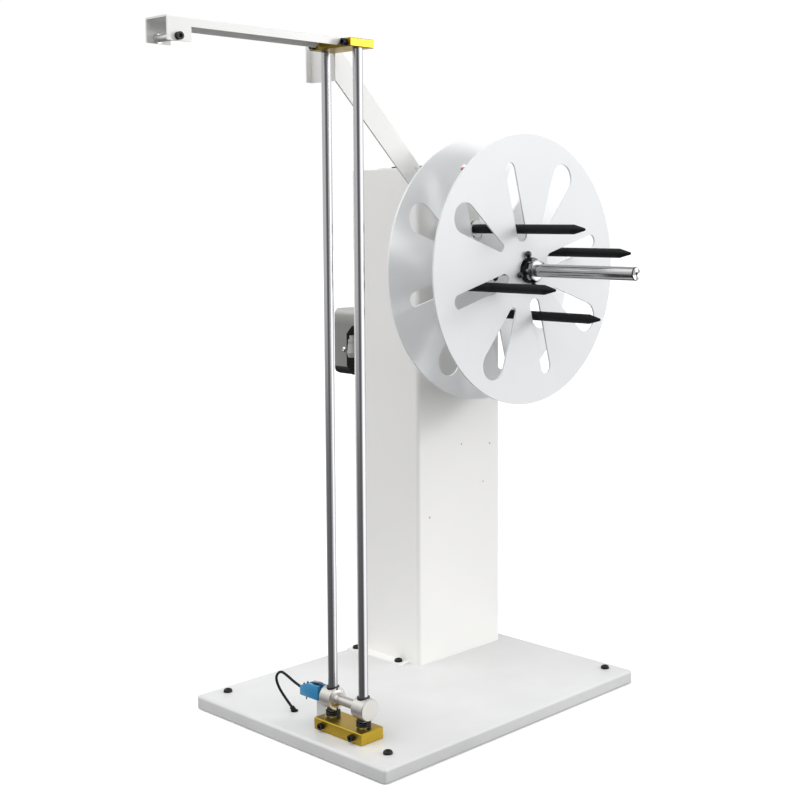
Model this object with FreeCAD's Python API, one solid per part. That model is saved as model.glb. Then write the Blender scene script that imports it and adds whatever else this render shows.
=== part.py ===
import FreeCAD, Part

import math
import os

from FreeCAD import Rotation, Vector

# The machine stands on its feet at Z = 0. X runs along the spindle, out of the column and
# through the two discs. The guide rods and the guide arm are on the -Y side.

# Base tray, folded from one sheet and open underneath
base_left = -185.0
base_front = -240.0
base_length = 370.0
base_width = 480.0
base_top = 19.0
base_skirt_bottom = 2.0
base_sheet = 2.0
base_fold_radius = 4.0

# Rubber feet under the tray
foot_radius = 13.0
foot_taper = 1.5
foot_inset_left = 21.0
foot_inset_right = 33.0
foot_inset_front = 36.0
foot_inset_rear = 21.0

# Column, a folded box open at the bottom, with a screwed cover on its rear side
column_inset_left = 1.0
column_inset_rear = 24.0
column_length = 136.0
column_width = 171.0
column_top = 726.0
column_sheet = 2.0
column_edge_radius = 5.5
column_flange_width = 17.5
column_flange_length = 116.0
flange_screw_inset = 12.0
flange_screw_end = 14.0
cover_sheet = 1.5
cover_margin_side = 9.0
cover_bottom = 54.0
cover_top_margin = 40.0
cover_overlap = 6.0
wiring_hole_radius = 12.0

# Spindle
spindle_drop = 139.5
shaft_radius = 9.0
shaft_seat_step = 1.0
shaft_overhang = 266.7
shaft_rear_gap = 4.0
shaft_tip_chamfer = 1.0
witness_groove_width = 3.0
witness_groove_depth = 0.4
witness_groove_lead = 0.3
running_clearance = 0.04

# Ball bearings of the spindle and their housings
bearing_radius = 21.0
bearing_width = 12.0
bearing_shield_radius = 18.0
bearing_shield_depth = 0.6
housing_flange_radius = 44.0
housing_flange_thickness = 8.0
housing_barrel_radius = 29.0
housing_length = 26.0
housing_spigot_radius = 28.0
housing_shoulder_radius = 15.0
housing_bolt_circle = 37.0
front_bearing_inset = 2.0

# Discs that hold the coil
disc_radius = 185.0
disc_sheet = 2.5
disc_standoff = 47.3
disc_gap = 83.3
slot_angle = -15.5
arm_slot_inner = 51.0
arm_slot_rim = 44.0
arm_slot_half_width = 10.0
window_inner = 64.0
window_rim = 41.0
window_inner_radius = 6.0
window_outer_radius = 21.0

# Rear hub
hub_flange_radius = 35.0
hub_flange_thickness = 5.0
hub_boss_radius = 20.0
hub_boss_length = 11.0
hub_bolt_circle = 27.0

# Winding arms, each clamped in its slot by a stud, two washers and a nut
arm_radius = 6.5
arm_length = 194.7
arm_cone_length = 19.0
arm_tip_radius = 1.8
arm_seats = (58.5, 87.0, 66.0, 78.0)
stud_radius = 4.0
washer_radius = 12.0
washer_thickness = 2.0
washer_play = 0.05
nut_thickness = 6.5
nut_flats = 13.0
stud_overhang = 2.0

# Front hub, which slides on the spindle and is locked by ball-ended screws
front_flange_radius = 28.0
front_flange_thickness = 5.0
front_tube_wall = 3.0
collar_radius = 17.5
collar_width = 8.6
ring_nut_radius = 16.5
ring_nut_width = 7.2
ring_nut_groove = 0.8
ring_nut_bevel = 2.0
notch_width = 9.0
notch_depth = 2.6
notch_angle = 66.0
lock_stem_radius = 2.0
lock_ball_radius = 4.5
lock_ball_seat = 23.0
lock_ball_gap = 0.3
pinch_slot_width = 8.0
pinch_slot_depth = 3.0

# Drive belt and pulleys inside the column
belt_pitch = 8.0
driven_teeth = 40
drive_teeth = 16
pitch_line_offset = 0.7
tooth_groove_radius = 2.1
belt_width = 16.0
belt_thickness = 2.6
belt_running_gap = 0.15
pulley_flange_height = 2.6
pulley_flange_thickness = 1.5
pulley_side_gap = 0.5
belt_inset = 54.0
pulley_hub_radius = 17.0
pulley_hub_length = 8.0

# Motor on the outside of the column
motor_drop = 115.0
motor_length = 83.0
motor_width = 100.0
motor_corner_radius = 10.0
motor_end_chamfer = 1.5
motor_heel_length = 7.5
motor_heel_height = 4.0
motor_side_inset = 59.5
motor_pilot_radius = 25.0
motor_pilot_depth = 5.0
motor_shaft_radius = 7.0
motor_screw_spacing = 76.0
terminal_length = 35.0
terminal_depth = 15.5
terminal_height = 73.0
terminal_drop = 10.0
terminal_gap = 3.0
terminal_chamfer = 12.0
gland_flange_radius = 15.0
gland_flange_thickness = 4.0
gland_dome_radius = 11.5
gland_dome_length = 13.0
gland_hole_radius = 4.0
gland_hole_depth = 3.0
elbow_radius = 9.0
elbow_inset = 8.0
elbow_stand = 9.4
elbow_drop = 8.5
elbow_height = 21.0
elbow_nut_radius = 7.6
elbow_nut_height = 4.2
elbow_groove = 0.9
elbow_cap_radius = 5.4
elbow_cap_height = 5.0
mains_gland_height = 60.0
mains_gland_offset = 40.0

# Guide rods and their two blocks
guide_inset = 116.25
rod_spacing = 56.7
rod_inset = 46.9
rod_radius = 6.0
lower_block_end = 15.65
upper_block_end = 8.65
lower_block_width = 37.0
lower_block_height = 15.0
upper_block_width = 37.5
upper_block_height = 10.0
upper_block_offset = -0.4
upper_block_top = 866.5
block_chamfer = 0.8
block_screw_length = 6.0

# Guide arm, a channel open underneath with a deep lug at its free end
guide_arm_width = 40.0
guide_arm_sheet = 2.0
guide_arm_fold_radius = 2.5
guide_arm_reach = 450.0
guide_arm_depth = 10.0
lug_depth = 26.0
lug_length = 30.0
arm_end_bevel = 5.0
block_gap = 0.4
roller_setback = 13.0
roller_rise = 5.0
roller_radius = 5.0
roller_groove = 0.8
roller_side_play = 0.4
axle_radius = 2.5

# Brace from the upper block down to the top of the column
brace_start_inset = 34.75
brace_fold_set = 1.75
brace_corner_left = 2.89
brace_corner_front = 3.16
brace_sheet = 2.0
brace_face_height = 46.0
brace_drop = 42.5
brace_overlap = 21.7
brace_foot_length = 80.0
brace_foot_width = 36.0
brace_foot_inset = 1.5
brace_end_inset = 78.75
brace_lip = 8.0
brace_tab_gap = 1.0
brace_tab_width = 14.0

# Dancer bar sliding on the guide rods, resting on two short springs
dancer_rest_gap = 0.3
dancer_end = 11.95
drum_radius = 14.0
drum_length = 19.8
bar_radius = 6.0
drum_shoulder_radius = 6.0
drum_edge_chamfer = 1.0
bush_radius = 8.0
bush_overhang = 0.6
spring_wire_radius = 1.1
spring_mean_radius = 8.3
spring_quarters = 11
spring_height = 9.6
spring_seat_gap = 0.05

# Position switch beside the dancer, its bracket and its cable
sensor_inset = 78.75
sensor_length = 34.5
sensor_front_gap = 11.9
sensor_depth = 14.0
sensor_rise = 34.0
sensor_height = 18.0
sensor_slope_height = 6.0
sensor_slope_length = 14.0
bracket_sheet = 2.0
bracket_inset = 16.0
bracket_width = 17.5
bracket_foot = 17.0
bracket_top_inset = 5.0
lever_sheet = 0.8
lever_width = 5.0
lever_slot_width = 6.0
lever_slot_depth = 5.0
lever_slot_inset = 11.5
lever_pivot_inset = 16.0
lever_pivot_depth = 2.4
lever_pin_radius = 1.2
lever_pin_depth = 2.0
lever_pin_end_play = 0.2
lever_reach = 18.5
lever_rise = 5.4
sensor_screw_cover = 3.0
cable_radius = 1.75
cable_route = (
    (-6.0, 7.0, 40.5),
    (-18.5, 6.8, 43.5),
    (-33.0, 6.5, 49.2),
    (-47.5, 6.8, 52.6),
    (-59.5, 7.8, 41.5),
    (-55.5, 9.8, 27.5),
    (-45.0, 12.2, 15.0),
    (-34.8, 14.4, 5.0),
)
grommet_offset_x = -30.5
grommet_offset_y = 15.4
grommet_radius = 4.6
grommet_flange_thickness = 1.6
grommet_neck_radius = 3.6

# Rocker switch on top of the column
switch_inset_right = 40.0
switch_inset_rear = 48.0
switch_length = 30.0
switch_width = 22.0
switch_bezel_height = 2.4
switch_wall = 2.4
switch_body_depth = 18.0
switch_body_wall = 2.0
rocker_play = 0.3
rocker_rise = 11.0
rocker_tilt = 8.0
rocker_pin_radius = 1.5
rocker_pin_length = 1.2
rocker_pin_end_play = 0.2
rocker_pin_drop = 1.5

# Speed controller on the inside of the column's front wall
controller_width = 80.0
controller_depth = 30.0
controller_height = 130.0
controller_bottom = 150.0
fin_count = 7
fin_depth = 12.0
fin_thickness = 2.0

# Screws
m6_radius = 3.0
m6_head_radius = 5.4
m6_head_height = 3.3
m6_length = 14.0
m5_radius = 2.5
m5_cap_radius = 4.25
m5_cap_height = 5.0
m5_button_radius = 4.75
m5_button_height = 2.75
m4_radius = 2.0
m4_head_radius = 3.8
m4_head_height = 2.2
m4_length = 8.0
m3_radius = 1.5
m3_head_radius = 2.6
m3_head_height = 1.6
clearance_hole = 0.25
clinch_nut_wall = 2.2
clinch_nut_height = 5.0

# Places that follow from the sizes above
base_right = base_left + base_length
base_rear = base_front + base_width
tray_under = base_top - base_sheet
foot_left = base_left + foot_inset_left
foot_right = base_right - foot_inset_right
foot_front = base_front + foot_inset_front
foot_rear = base_rear - foot_inset_rear
column_left = base_left + column_inset_left
column_right = column_left + column_length
column_rear = base_rear - column_inset_rear
column_front = column_rear - column_width
column_flange_right = column_left + column_flange_length
flange_screw_left = column_left + flange_screw_inset
flange_screw_right = column_flange_right - flange_screw_end
cover_top = column_top - cover_top_margin
column_centre_x = column_left + column_length / 2
spindle_y = column_front + column_width / 2
spindle_height = column_top - spindle_drop
shaft_seat_radius = shaft_radius + shaft_seat_step
front_tube_radius = shaft_radius + front_tube_wall
rear_disc_face = column_right + disc_standoff
arm_slot_outer = disc_radius - arm_slot_rim
window_outer = disc_radius - window_rim
arm_tip = rear_disc_face + arm_length
shaft_tip = rear_disc_face + shaft_overhang
belt_centre = column_left + belt_inset
front_disc_face = rear_disc_face + disc_gap
front_disc_back = front_disc_face - disc_sheet
rear_disc_back = rear_disc_face - disc_sheet
motor_height = spindle_height - motor_drop
flange_top = base_top + column_sheet
flange_screw_front = column_front - column_flange_width / 2
flange_screw_rear = column_rear + column_flange_width / 2
guide_centre = base_right - guide_inset
rod_line = base_front + rod_inset
rod_places = (guide_centre - rod_spacing / 2, guide_centre + rod_spacing / 2)
lower_block_length = rod_spacing + 2 * lower_block_end
upper_block_length = rod_spacing + 2 * upper_block_end
dancer_length = rod_spacing + 2 * dancer_end
lower_block_top = base_top + lower_block_height
upper_block_bottom = upper_block_top - upper_block_height
upper_block_line = rod_line + upper_block_offset
upper_block_front = upper_block_line - upper_block_width / 2
upper_block_rear = upper_block_line + upper_block_width / 2
guide_arm_top = upper_block_top + guide_arm_sheet
roller_y = -guide_arm_reach + roller_setback
roller_z = guide_arm_top - lug_depth + roller_rise
bush_half = drum_radius + bush_overhang
dancer_height = lower_block_top + spring_height + dancer_rest_gap + bush_half
brace_start = Vector(guide_centre - brace_start_inset, upper_block_rear + brace_fold_set, 0)
brace_corner = Vector(column_right - brace_corner_left, column_front - brace_corner_front, 0)
brace_cut_length = brace_corner.sub(brace_start).Length
brace_direction = brace_corner.sub(brace_start).normalize()
brace_side = Vector(brace_direction.y, -brace_direction.x, 0)
brace_base_height = upper_block_top - brace_drop
brace_foot_top = column_top + brace_sheet
brace_slope = (brace_base_height + brace_face_height - brace_foot_top) / (brace_cut_length + brace_overlap)
brace_end_left = guide_centre - brace_end_inset
brace_tab_length = (upper_block_length - guide_arm_width) / 2 - brace_tab_gap
shaft_rear = column_left + column_sheet + shaft_rear_gap
collar_end = front_disc_face + collar_width
lock_line = front_disc_face + lock_ball_radius + lock_ball_gap
sensor_left = guide_centre - sensor_inset
sensor_front = rod_line - sensor_front_gap
sensor_bottom = base_top + sensor_rise
bracket_left = sensor_left + bracket_inset
bracket_front = sensor_front + sensor_depth
cable_points = [(sensor_left + x, sensor_front + y, base_top + z) for x, y, z in cable_route]
grommet_x = sensor_left + grommet_offset_x
grommet_y = sensor_front + grommet_offset_y
switch_x = column_right - switch_inset_right
switch_y = column_rear - switch_inset_rear
move_x = (motor_length - column_left - shaft_tip) / 2
move_y = (guide_arm_reach - spindle_y - disc_radius) / 2
x_axis = Vector(1, 0, 0)
y_axis = Vector(0, 1, 0)
z_axis = Vector(0, 0, 1)


def box(x0, x1, y0, y1, z0, z1):
    return Part.makeBox(x1 - x0, y1 - y0, z1 - z0, Vector(x0, y0, z0))


def along_x(radius, x0, x1, y, z):
    return Part.makeCylinder(radius, x1 - x0, Vector(x0, y, z), x_axis)


def along_y(radius, x, y0, y1, z):
    return Part.makeCylinder(radius, y1 - y0, Vector(x, y0, z), y_axis)


def along_z(radius, x, y, z0, z1):
    return Part.makeCylinder(radius, z1 - z0, Vector(x, y, z0), z_axis)


def edges_along(shape, axis):
    found = []
    for edge in shape.Edges:
        if isinstance(edge.Curve, Part.Line):
            start = edge.Vertexes[0].Point
            end = edge.Vertexes[-1].Point
            if (end - start).cross(axis).Length < 1e-6:
                found.append(edge)
    return found


def place(shape, point, axis):
    """Moves a shape that was made about the Z axis so that its Z axis follows the given one."""
    moved = shape.copy()
    moved.rotate(Vector(0, 0, 0), Rotation(z_axis, axis).Axis, math.degrees(Rotation(z_axis, axis).Angle))
    moved.translate(point)
    return moved


def hexagon(flats, height):
    corner = flats / math.sqrt(3)
    points = []
    for step in range(7):
        turn = math.radians(60 * step)
        points.append(Vector(corner * math.cos(turn), corner * math.sin(turn), 0))
    return Part.Face(Part.makePolygon(points)).extrude(Vector(0, 0, height))


def cap_screw(head_radius, head_height, shank_radius, length):
    """Socket screw standing on Z = 0, its head above and its shank below."""
    head = Part.makeCylinder(head_radius, head_height)
    socket = hexagon(head_radius * 0.95, head_height * 0.55)
    socket.translate(Vector(0, 0, head_height * 0.5))
    shank = Part.makeCylinder(shank_radius, length, Vector(0, 0, -length))
    return head.cut(socket).fuse(shank).removeSplitter()


def button_screw(head_radius, head_height, shank_radius, length):
    """Low round-headed screw standing on Z = 0."""
    low = head_height * 0.45
    head = Part.makeCylinder(head_radius, low)
    dome = Part.makeCone(head_radius, head_radius * 0.62, head_height - low, Vector(0, 0, low))
    socket = hexagon(head_radius * 0.75, head_height * 0.5)
    socket.translate(Vector(0, 0, head_height * 0.6))
    shank = Part.makeCylinder(shank_radius, length, Vector(0, 0, -length))
    return head.fuse(dome).cut(socket).fuse(shank).removeSplitter()


def plain_screw(head_radius, head_height, shank_radius, length):
    head = Part.makeCylinder(head_radius, head_height)
    shank = Part.makeCylinder(shank_radius, length, Vector(0, 0, -length))
    return head.fuse(shank).removeSplitter()


def tangent_loop(far, near, far_radius, near_radius):
    """Closed outline of two circles in a plane across X, joined by their outer tangents."""
    span = far.sub(near)
    distance = span.Length
    forward = span * (1 / distance)
    sideways = x_axis.cross(forward)
    lean = (near_radius - far_radius) / distance
    spread = math.sqrt(1 - lean * lean)
    first = forward * lean + sideways * spread
    second = forward * lean - sideways * spread
    far_first = far + first * far_radius
    far_second = far + second * far_radius
    near_first = near + first * near_radius
    near_second = near + second * near_radius
    edges = [
        Part.Arc(far_first, far + forward * far_radius, far_second).toShape(),
        Part.LineSegment(far_second, near_second).toShape(),
        Part.Arc(near_second, near - forward * near_radius, near_first).toShape(),
        Part.LineSegment(near_first, far_first).toShape(),
    ]
    return Part.Wire(edges)


def spoke_point(x, radius, angle):
    """Point at a radius from the spindle, at an angle from +Z towards +Y."""
    turn = math.radians(angle)
    return Vector(x, spindle_y + radius * math.sin(turn), spindle_height + radius * math.cos(turn))


def arm_angle(index):
    return slot_angle + 90 * index


def base_tray():
    outer = box(base_left, base_right, base_front, base_rear, base_skirt_bottom, base_top)
    upper = [edge for edge in outer.Edges if edge.BoundBox.ZMin > base_top - 0.1]
    outer = outer.makeFillet(base_fold_radius, edges_along(outer, z_axis) + upper)
    inner_radius = base_fold_radius - base_sheet
    inner = box(base_left + base_sheet, base_right - base_sheet, base_front + base_sheet,
                base_rear - base_sheet, base_skirt_bottom - 1, tray_under)
    upper = [edge for edge in inner.Edges if edge.BoundBox.ZMin > tray_under - 0.1]
    inner = inner.makeFillet(inner_radius, edges_along(inner, z_axis) + upper)
    tray = outer.cut(inner)
    nuts = []
    for x, y in flange_nut_places():
        nuts.append(along_z(m6_radius + clinch_nut_wall, x, y, tray_under - clinch_nut_height, tray_under))
    tray = tray.fuse(nuts)
    holes = [along_z(m6_radius, x, y, 0, base_top + 1) for x, y in flange_nut_places()]
    holes += [along_z(m6_radius + clearance_hole, x, y, 0, base_top + 1) for x, y in foot_places()]
    holes += [along_z(m6_radius + clearance_hole, x, rod_line, 0, base_top + 1) for x in block_bolt_places()]
    holes.append(along_z(grommet_neck_radius, grommet_x, grommet_y, 0, base_top + 1))
    holes.append(along_z(wiring_hole_radius, column_centre_x, spindle_y, 0, base_top + 1))
    return tray.cut(holes).removeSplitter()


def foot_places():
    return (
        (foot_left, foot_front),
        (foot_right, foot_front),
        (foot_right, foot_rear),
        (foot_left, flange_screw_rear),
    )


def flange_nut_places():
    return (
        (flange_screw_right, flange_screw_front),
        (flange_screw_left, flange_screw_front),
        (flange_screw_right, flange_screw_rear),
    )


def block_bolt_places():
    return (guide_centre - rod_spacing / 4, guide_centre + rod_spacing / 4)


def base_feet():
    feet = []
    for x, y in foot_places():
        foot = Part.makeCone(foot_radius - foot_taper, foot_radius, tray_under, Vector(x, y, 0))
        depth = base_top - m6_length
        feet.append(foot.cut(along_z(m6_radius, x, y, depth, tray_under + 1)))
    return Part.makeCompound(feet)


def base_screws():
    screw = button_screw(m6_head_radius, m6_head_height, m6_radius, m6_length)
    plain = plain_screw(m6_head_radius, m6_head_height, m6_radius, m6_length)
    group = []
    for x, y in foot_places()[:3]:
        group.append(place(screw, Vector(x, y, base_top), z_axis))
    group.append(place(screw, Vector(foot_left, flange_screw_rear, flange_top), z_axis))
    for x, y in flange_nut_places():
        group.append(place(screw, Vector(x, y, flange_top), z_axis))
    for x in block_bolt_places():
        group.append(place(plain, Vector(x, rod_line, tray_under), -z_axis))
    return Part.makeCompound(group)


def column_box(inset, bottom, top):
    radius = column_edge_radius - inset
    solid = box(column_left + inset, column_right - inset, column_front + inset, column_rear - inset, bottom, top)
    return solid.makeFillet(radius, edges_along(solid, z_axis))


def cover_screw_places():
    left = column_left + cover_margin_side + cover_overlap
    right = column_right - cover_margin_side - cover_overlap
    low = cover_bottom + cover_overlap
    high = cover_top - cover_overlap
    middle = (low + high) / 2
    return [(x, z) for x in (left, right) for z in (low, middle, high)]


def motor_screw_places():
    half = motor_screw_spacing / 2
    return [(spindle_y + y, motor_height + z) for y in (-half, half) for z in (-half, half)]


def housing_bolt_places():
    places = []
    for step in range(4):
        point = spoke_point(0, housing_bolt_circle, 45 + 90 * step)
        places.append((point.y, point.z))
    return places


def brace_foot_screws():
    x0 = column_right - brace_foot_inset - brace_foot_length
    y = column_front + brace_foot_inset + brace_foot_width * 0.6
    return ((x0 + 12.0, y), (x0 + brace_foot_length - 12.0, y))


def column_shell():
    outer = column_box(0, base_top, column_top)
    inner = column_box(column_sheet, base_top - 1, column_top - column_sheet)
    shell = outer.cut(inner)
    wall = column_sheet / 2
    flanges = [
        box(column_left + 1, column_flange_right, column_front - column_flange_width,
            column_front + wall, base_top, flange_top),
        box(column_left + 1, column_flange_right, column_rear - wall,
            column_rear + column_flange_width, base_top, flange_top),
    ]
    nuts = []
    for y, z in housing_bolt_places():
        nuts.append(along_x(m6_radius + clinch_nut_wall, column_right - column_sheet - clinch_nut_height,
                            column_right - column_sheet, y, z))
    for x, z in cover_screw_places():
        nuts.append(along_y(m4_radius + clinch_nut_wall, x, column_rear - column_sheet - clinch_nut_height,
                            column_rear - column_sheet, z))
    for x, y in brace_foot_screws():
        nuts.append(along_z(m5_radius + clinch_nut_wall, x, y, column_top - column_sheet - clinch_nut_height,
                            column_top - column_sheet))
    shell = shell.fuse(flanges + nuts)
    return shell.cut(column_holes()).removeSplitter()


def column_holes():
    left = column_left + cover_margin_side + 2 * cover_overlap
    right = column_right - cover_margin_side - 2 * cover_overlap
    low = cover_bottom + 2 * cover_overlap
    high = cover_top - 2 * cover_overlap
    deep = column_sheet + clinch_nut_height + 1
    holes = [box(left, right, column_rear - column_sheet - 0.5, column_rear + 1, low, high)]
    for x, z in cover_screw_places():
        holes.append(along_y(m4_radius, x, column_rear - deep, column_rear + 1, z))
    holes.append(along_x(housing_spigot_radius, column_right - column_sheet - 1, column_right + 1,
                         spindle_y, spindle_height))
    for y, z in housing_bolt_places():
        holes.append(along_x(m6_radius, column_right - deep, column_right + 1, y, z))
        holes.append(along_x(m6_radius + clearance_hole, column_left - 1, column_left + column_sheet + 1, y, z))
    for y, z in motor_screw_places():
        holes.append(along_x(m5_radius + clearance_hole, column_left - 1, column_left + column_sheet + 1, y, z))
    holes.append(along_x(motor_pilot_radius, column_left - 1, column_left + column_sheet + 1,
                         spindle_y, motor_height))
    holes.append(along_x(gland_dome_radius, column_left - 1, column_left + column_sheet + 1,
                         spindle_y + mains_gland_offset, mains_gland_height))
    for x, y in brace_foot_screws():
        holes.append(along_z(m5_radius, x, y, column_top - deep, column_top + 1))
    half_x = switch_width / 2 - switch_wall
    half_y = switch_length / 2 - switch_wall
    holes.append(box(switch_x - half_x, switch_x + half_x, switch_y - half_y, switch_y + half_y,
                     column_top - column_sheet - 1, column_top + 1))
    for x, y in flange_nut_places() + ((foot_left, flange_screw_rear),):
        holes.append(along_z(m6_radius + clearance_hole, x, y, base_top - 1, flange_top + 1))
    return holes


def column_cover():
    left = column_left + cover_margin_side
    right = column_right - cover_margin_side
    plate = box(left, right, column_rear, column_rear + cover_sheet, cover_bottom, cover_top)
    plate = plate.makeFillet(4.0, edges_along(plate, y_axis))
    holes = []
    for x, z in cover_screw_places():
        holes.append(along_y(m4_radius + clearance_hole, x, column_rear - 1, column_rear + cover_sheet + 1, z))
    return plate.cut(holes)


def cover_screws():
    screw = button_screw(m4_head_radius, m4_head_height, m4_radius, m4_length)
    group = []
    for x, z in cover_screw_places():
        group.append(place(screw, Vector(x, column_rear + cover_sheet, z), y_axis))
    return Part.makeCompound(group)


def bearing(x0):
    ring = along_x(bearing_radius, x0, x0 + bearing_width, spindle_y, spindle_height)
    bore = along_x(shaft_seat_radius + running_clearance, x0 - 1, x0 + bearing_width + 1,
                   spindle_y, spindle_height)
    recesses = []
    for start in (x0 - 1, x0 + bearing_width - bearing_shield_depth):
        wide = along_x(bearing_shield_radius, start, start + 1 + bearing_shield_depth, spindle_y, spindle_height)
        core = along_x(shaft_seat_radius + 3.0, start, start + 1 + bearing_shield_depth,
                       spindle_y, spindle_height)
        recesses.append(wide.cut(core))
    return ring.cut([bore] + recesses)


def front_bearing_start():
    return column_right + housing_length - front_bearing_inset - bearing_width


def rear_bearing_start():
    return column_left + column_sheet + housing_length - front_bearing_inset - bearing_width


def spindle_bearings():
    return Part.makeCompound([bearing(front_bearing_start()), bearing(rear_bearing_start())])


def front_bearing_housing():
    y = spindle_y
    z = spindle_height
    body = along_x(housing_flange_radius, column_right, column_right + housing_flange_thickness, y, z)
    body = body.fuse([
        along_x(housing_barrel_radius, column_right, column_right + housing_length, y, z),
        along_x(housing_spigot_radius, column_right - column_sheet, column_right, y, z),
    ])
    mouth = column_right + housing_length
    holes = [
        along_x(bearing_radius, front_bearing_start(), mouth + 1, y, z),
        along_x(housing_shoulder_radius, column_right - column_sheet - 1, mouth, y, z),
    ]
    for bolt_y, bolt_z in housing_bolt_places():
        holes.append(along_x(m6_radius + clearance_hole, column_right - 1,
                             column_right + housing_flange_thickness + 1, bolt_y, bolt_z))
    return body.cut(holes).removeSplitter()


def rear_bearing_housing():
    y = spindle_y
    z = spindle_height
    wall = column_left + column_sheet
    body = along_x(housing_flange_radius, wall, wall + housing_flange_thickness, y, z)
    body = body.fuse(along_x(housing_barrel_radius, wall, wall + housing_length, y, z))
    mouth = wall + housing_length
    holes = [
        along_x(bearing_radius, rear_bearing_start(), mouth + 1, y, z),
        along_x(housing_shoulder_radius, wall + 2, mouth, y, z),
    ]
    for bolt_y, bolt_z in housing_bolt_places():
        holes.append(along_x(m6_radius, wall - 1, wall + housing_flange_thickness + 1, bolt_y, bolt_z))
    return body.cut(holes).removeSplitter()


def housing_screws():
    front_length = housing_flange_thickness + column_sheet + clinch_nut_height
    front = plain_screw(m6_head_radius, m6_head_height, m6_radius, front_length)
    rear = button_screw(m6_head_radius, m6_head_height, m6_radius, column_sheet + housing_flange_thickness)
    group = []
    for y, z in housing_bolt_places():
        group.append(place(front, Vector(column_right + housing_flange_thickness, y, z), x_axis))
        group.append(place(rear, Vector(column_left, y, z), -x_axis))
    return Part.makeCompound(group)


def spindle_shaft():
    hub_back = rear_disc_back - hub_flange_thickness - hub_boss_length
    seat = along_x(shaft_seat_radius, shaft_rear, hub_back, spindle_y, spindle_height)
    front = along_x(shaft_radius, hub_back, shaft_tip - shaft_tip_chamfer, spindle_y, spindle_height)
    nose = Part.makeCone(shaft_radius, shaft_radius - shaft_tip_chamfer, shaft_tip_chamfer,
                         Vector(shaft_tip - shaft_tip_chamfer, spindle_y, spindle_height), x_axis)
    mark = Part.makeCone(0, 2.4, 2.4, Vector(shaft_tip - 2.4, spindle_y, spindle_height), x_axis)
    shaft = seat.fuse([front, nose]).removeSplitter()
    return shaft.cut([mark, witness_groove()])


def witness_groove():
    """Shallow ring that marks where the front hub ends at the coil's usual width."""
    end = collar_end + ring_nut_width + witness_groove_lead
    start = end - witness_groove_width
    ring = along_x(shaft_radius + 1, start, end, spindle_y, spindle_height)
    return ring.cut(along_x(shaft_radius - witness_groove_depth, start, end, spindle_y, spindle_height))


def slotted_disc(back, hole_radius):
    face_x = back + disc_sheet
    rim = Part.Wire(Part.makeCircle(disc_radius, Vector(back, spindle_y, spindle_height), x_axis))
    plate = Part.Face(rim).extrude(Vector(disc_sheet, 0, 0))
    cuts = [along_x(hole_radius, back - 1, face_x + 1, spindle_y, spindle_height)]
    for index in range(4):
        angle = arm_angle(index)
        slot = tangent_loop(spoke_point(back - 1, arm_slot_outer, angle),
                            spoke_point(back - 1, arm_slot_inner, angle),
                            arm_slot_half_width, arm_slot_half_width)
        window = tangent_loop(spoke_point(back - 1, window_outer, angle + 45),
                              spoke_point(back - 1, window_inner, angle + 45),
                              window_outer_radius, window_inner_radius)
        for wire in (slot, window):
            cuts.append(Part.Face(wire).extrude(Vector(disc_sheet + 2, 0, 0)))
    return plate.cut(cuts)


def hub_bolt_places():
    return [spoke_point(0, hub_bolt_circle, slot_angle + 45 + 90 * step) for step in range(4)]


def rear_disc():
    disc = slotted_disc(rear_disc_back, shaft_radius)
    holes = [along_x(m5_radius + clearance_hole, rear_disc_back - 1, rear_disc_face + 1, point.y, point.z)
             for point in hub_bolt_places()]
    return disc.cut(holes)


def rear_hub():
    flange_back = rear_disc_back - hub_flange_thickness
    body = along_x(hub_flange_radius, flange_back, rear_disc_back, spindle_y, spindle_height)
    boss = along_x(hub_boss_radius, flange_back - hub_boss_length, flange_back, spindle_y, spindle_height)
    holes = [along_x(shaft_radius, flange_back - hub_boss_length - 1, rear_disc_back + 1,
                     spindle_y, spindle_height)]
    for point in hub_bolt_places():
        holes.append(along_x(m5_radius, flange_back - 1, rear_disc_back + 1, point.y, point.z))
    return body.fuse(boss).cut(holes).removeSplitter()


def hub_bolts():
    screw = button_screw(m5_button_radius, m5_button_height, m5_radius, disc_sheet + hub_flange_thickness)
    group = []
    for point in hub_bolt_places():
        group.append(place(screw, Vector(rear_disc_face, point.y, point.z), x_axis))
    return Part.makeCompound(group)


def arm_centre(x, index):
    return spoke_point(x, arm_seats[index], arm_angle(index))


def winding_arm(index):
    start = rear_disc_face + washer_play + washer_thickness
    centre = arm_centre(start, index)
    back = rear_disc_back - washer_play - washer_thickness - nut_thickness - stud_overhang
    straight_end = arm_tip - arm_cone_length
    point_end = arm_tip - arm_tip_radius * 0.5
    rod = along_x(arm_radius, start, straight_end, centre.y, centre.z)
    cone = Part.makeCone(arm_radius, arm_tip_radius, point_end - straight_end,
                         Vector(straight_end, centre.y, centre.z), x_axis)
    blunt = Part.makeCone(arm_tip_radius, arm_tip_radius * 0.5, arm_tip - point_end,
                          Vector(point_end, centre.y, centre.z), x_axis)
    stud = along_x(stud_radius, back, start, centre.y, centre.z)
    return rod.fuse([cone, blunt, stud]).removeSplitter()


def arm_nut(index):
    centre = arm_centre(0, index)
    pieces = []
    rear_washer = rear_disc_back - washer_play - washer_thickness
    for start in (rear_disc_face + washer_play, rear_washer):
        washer = along_x(washer_radius, start, start + washer_thickness, centre.y, centre.z)
        hole = along_x(stud_radius, start - 1, start + washer_thickness + 1, centre.y, centre.z)
        pieces.append(washer.cut(hole))
    nut = place(hexagon(nut_flats, nut_thickness), Vector(rear_washer, centre.y, centre.z), -x_axis)
    hole = along_x(stud_radius, rear_washer - nut_thickness - 1, rear_washer + 1, centre.y, centre.z)
    pieces.append(nut.cut(hole))
    return Part.makeCompound(pieces)


def front_disc():
    return slotted_disc(front_disc_back, front_tube_radius)


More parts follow.
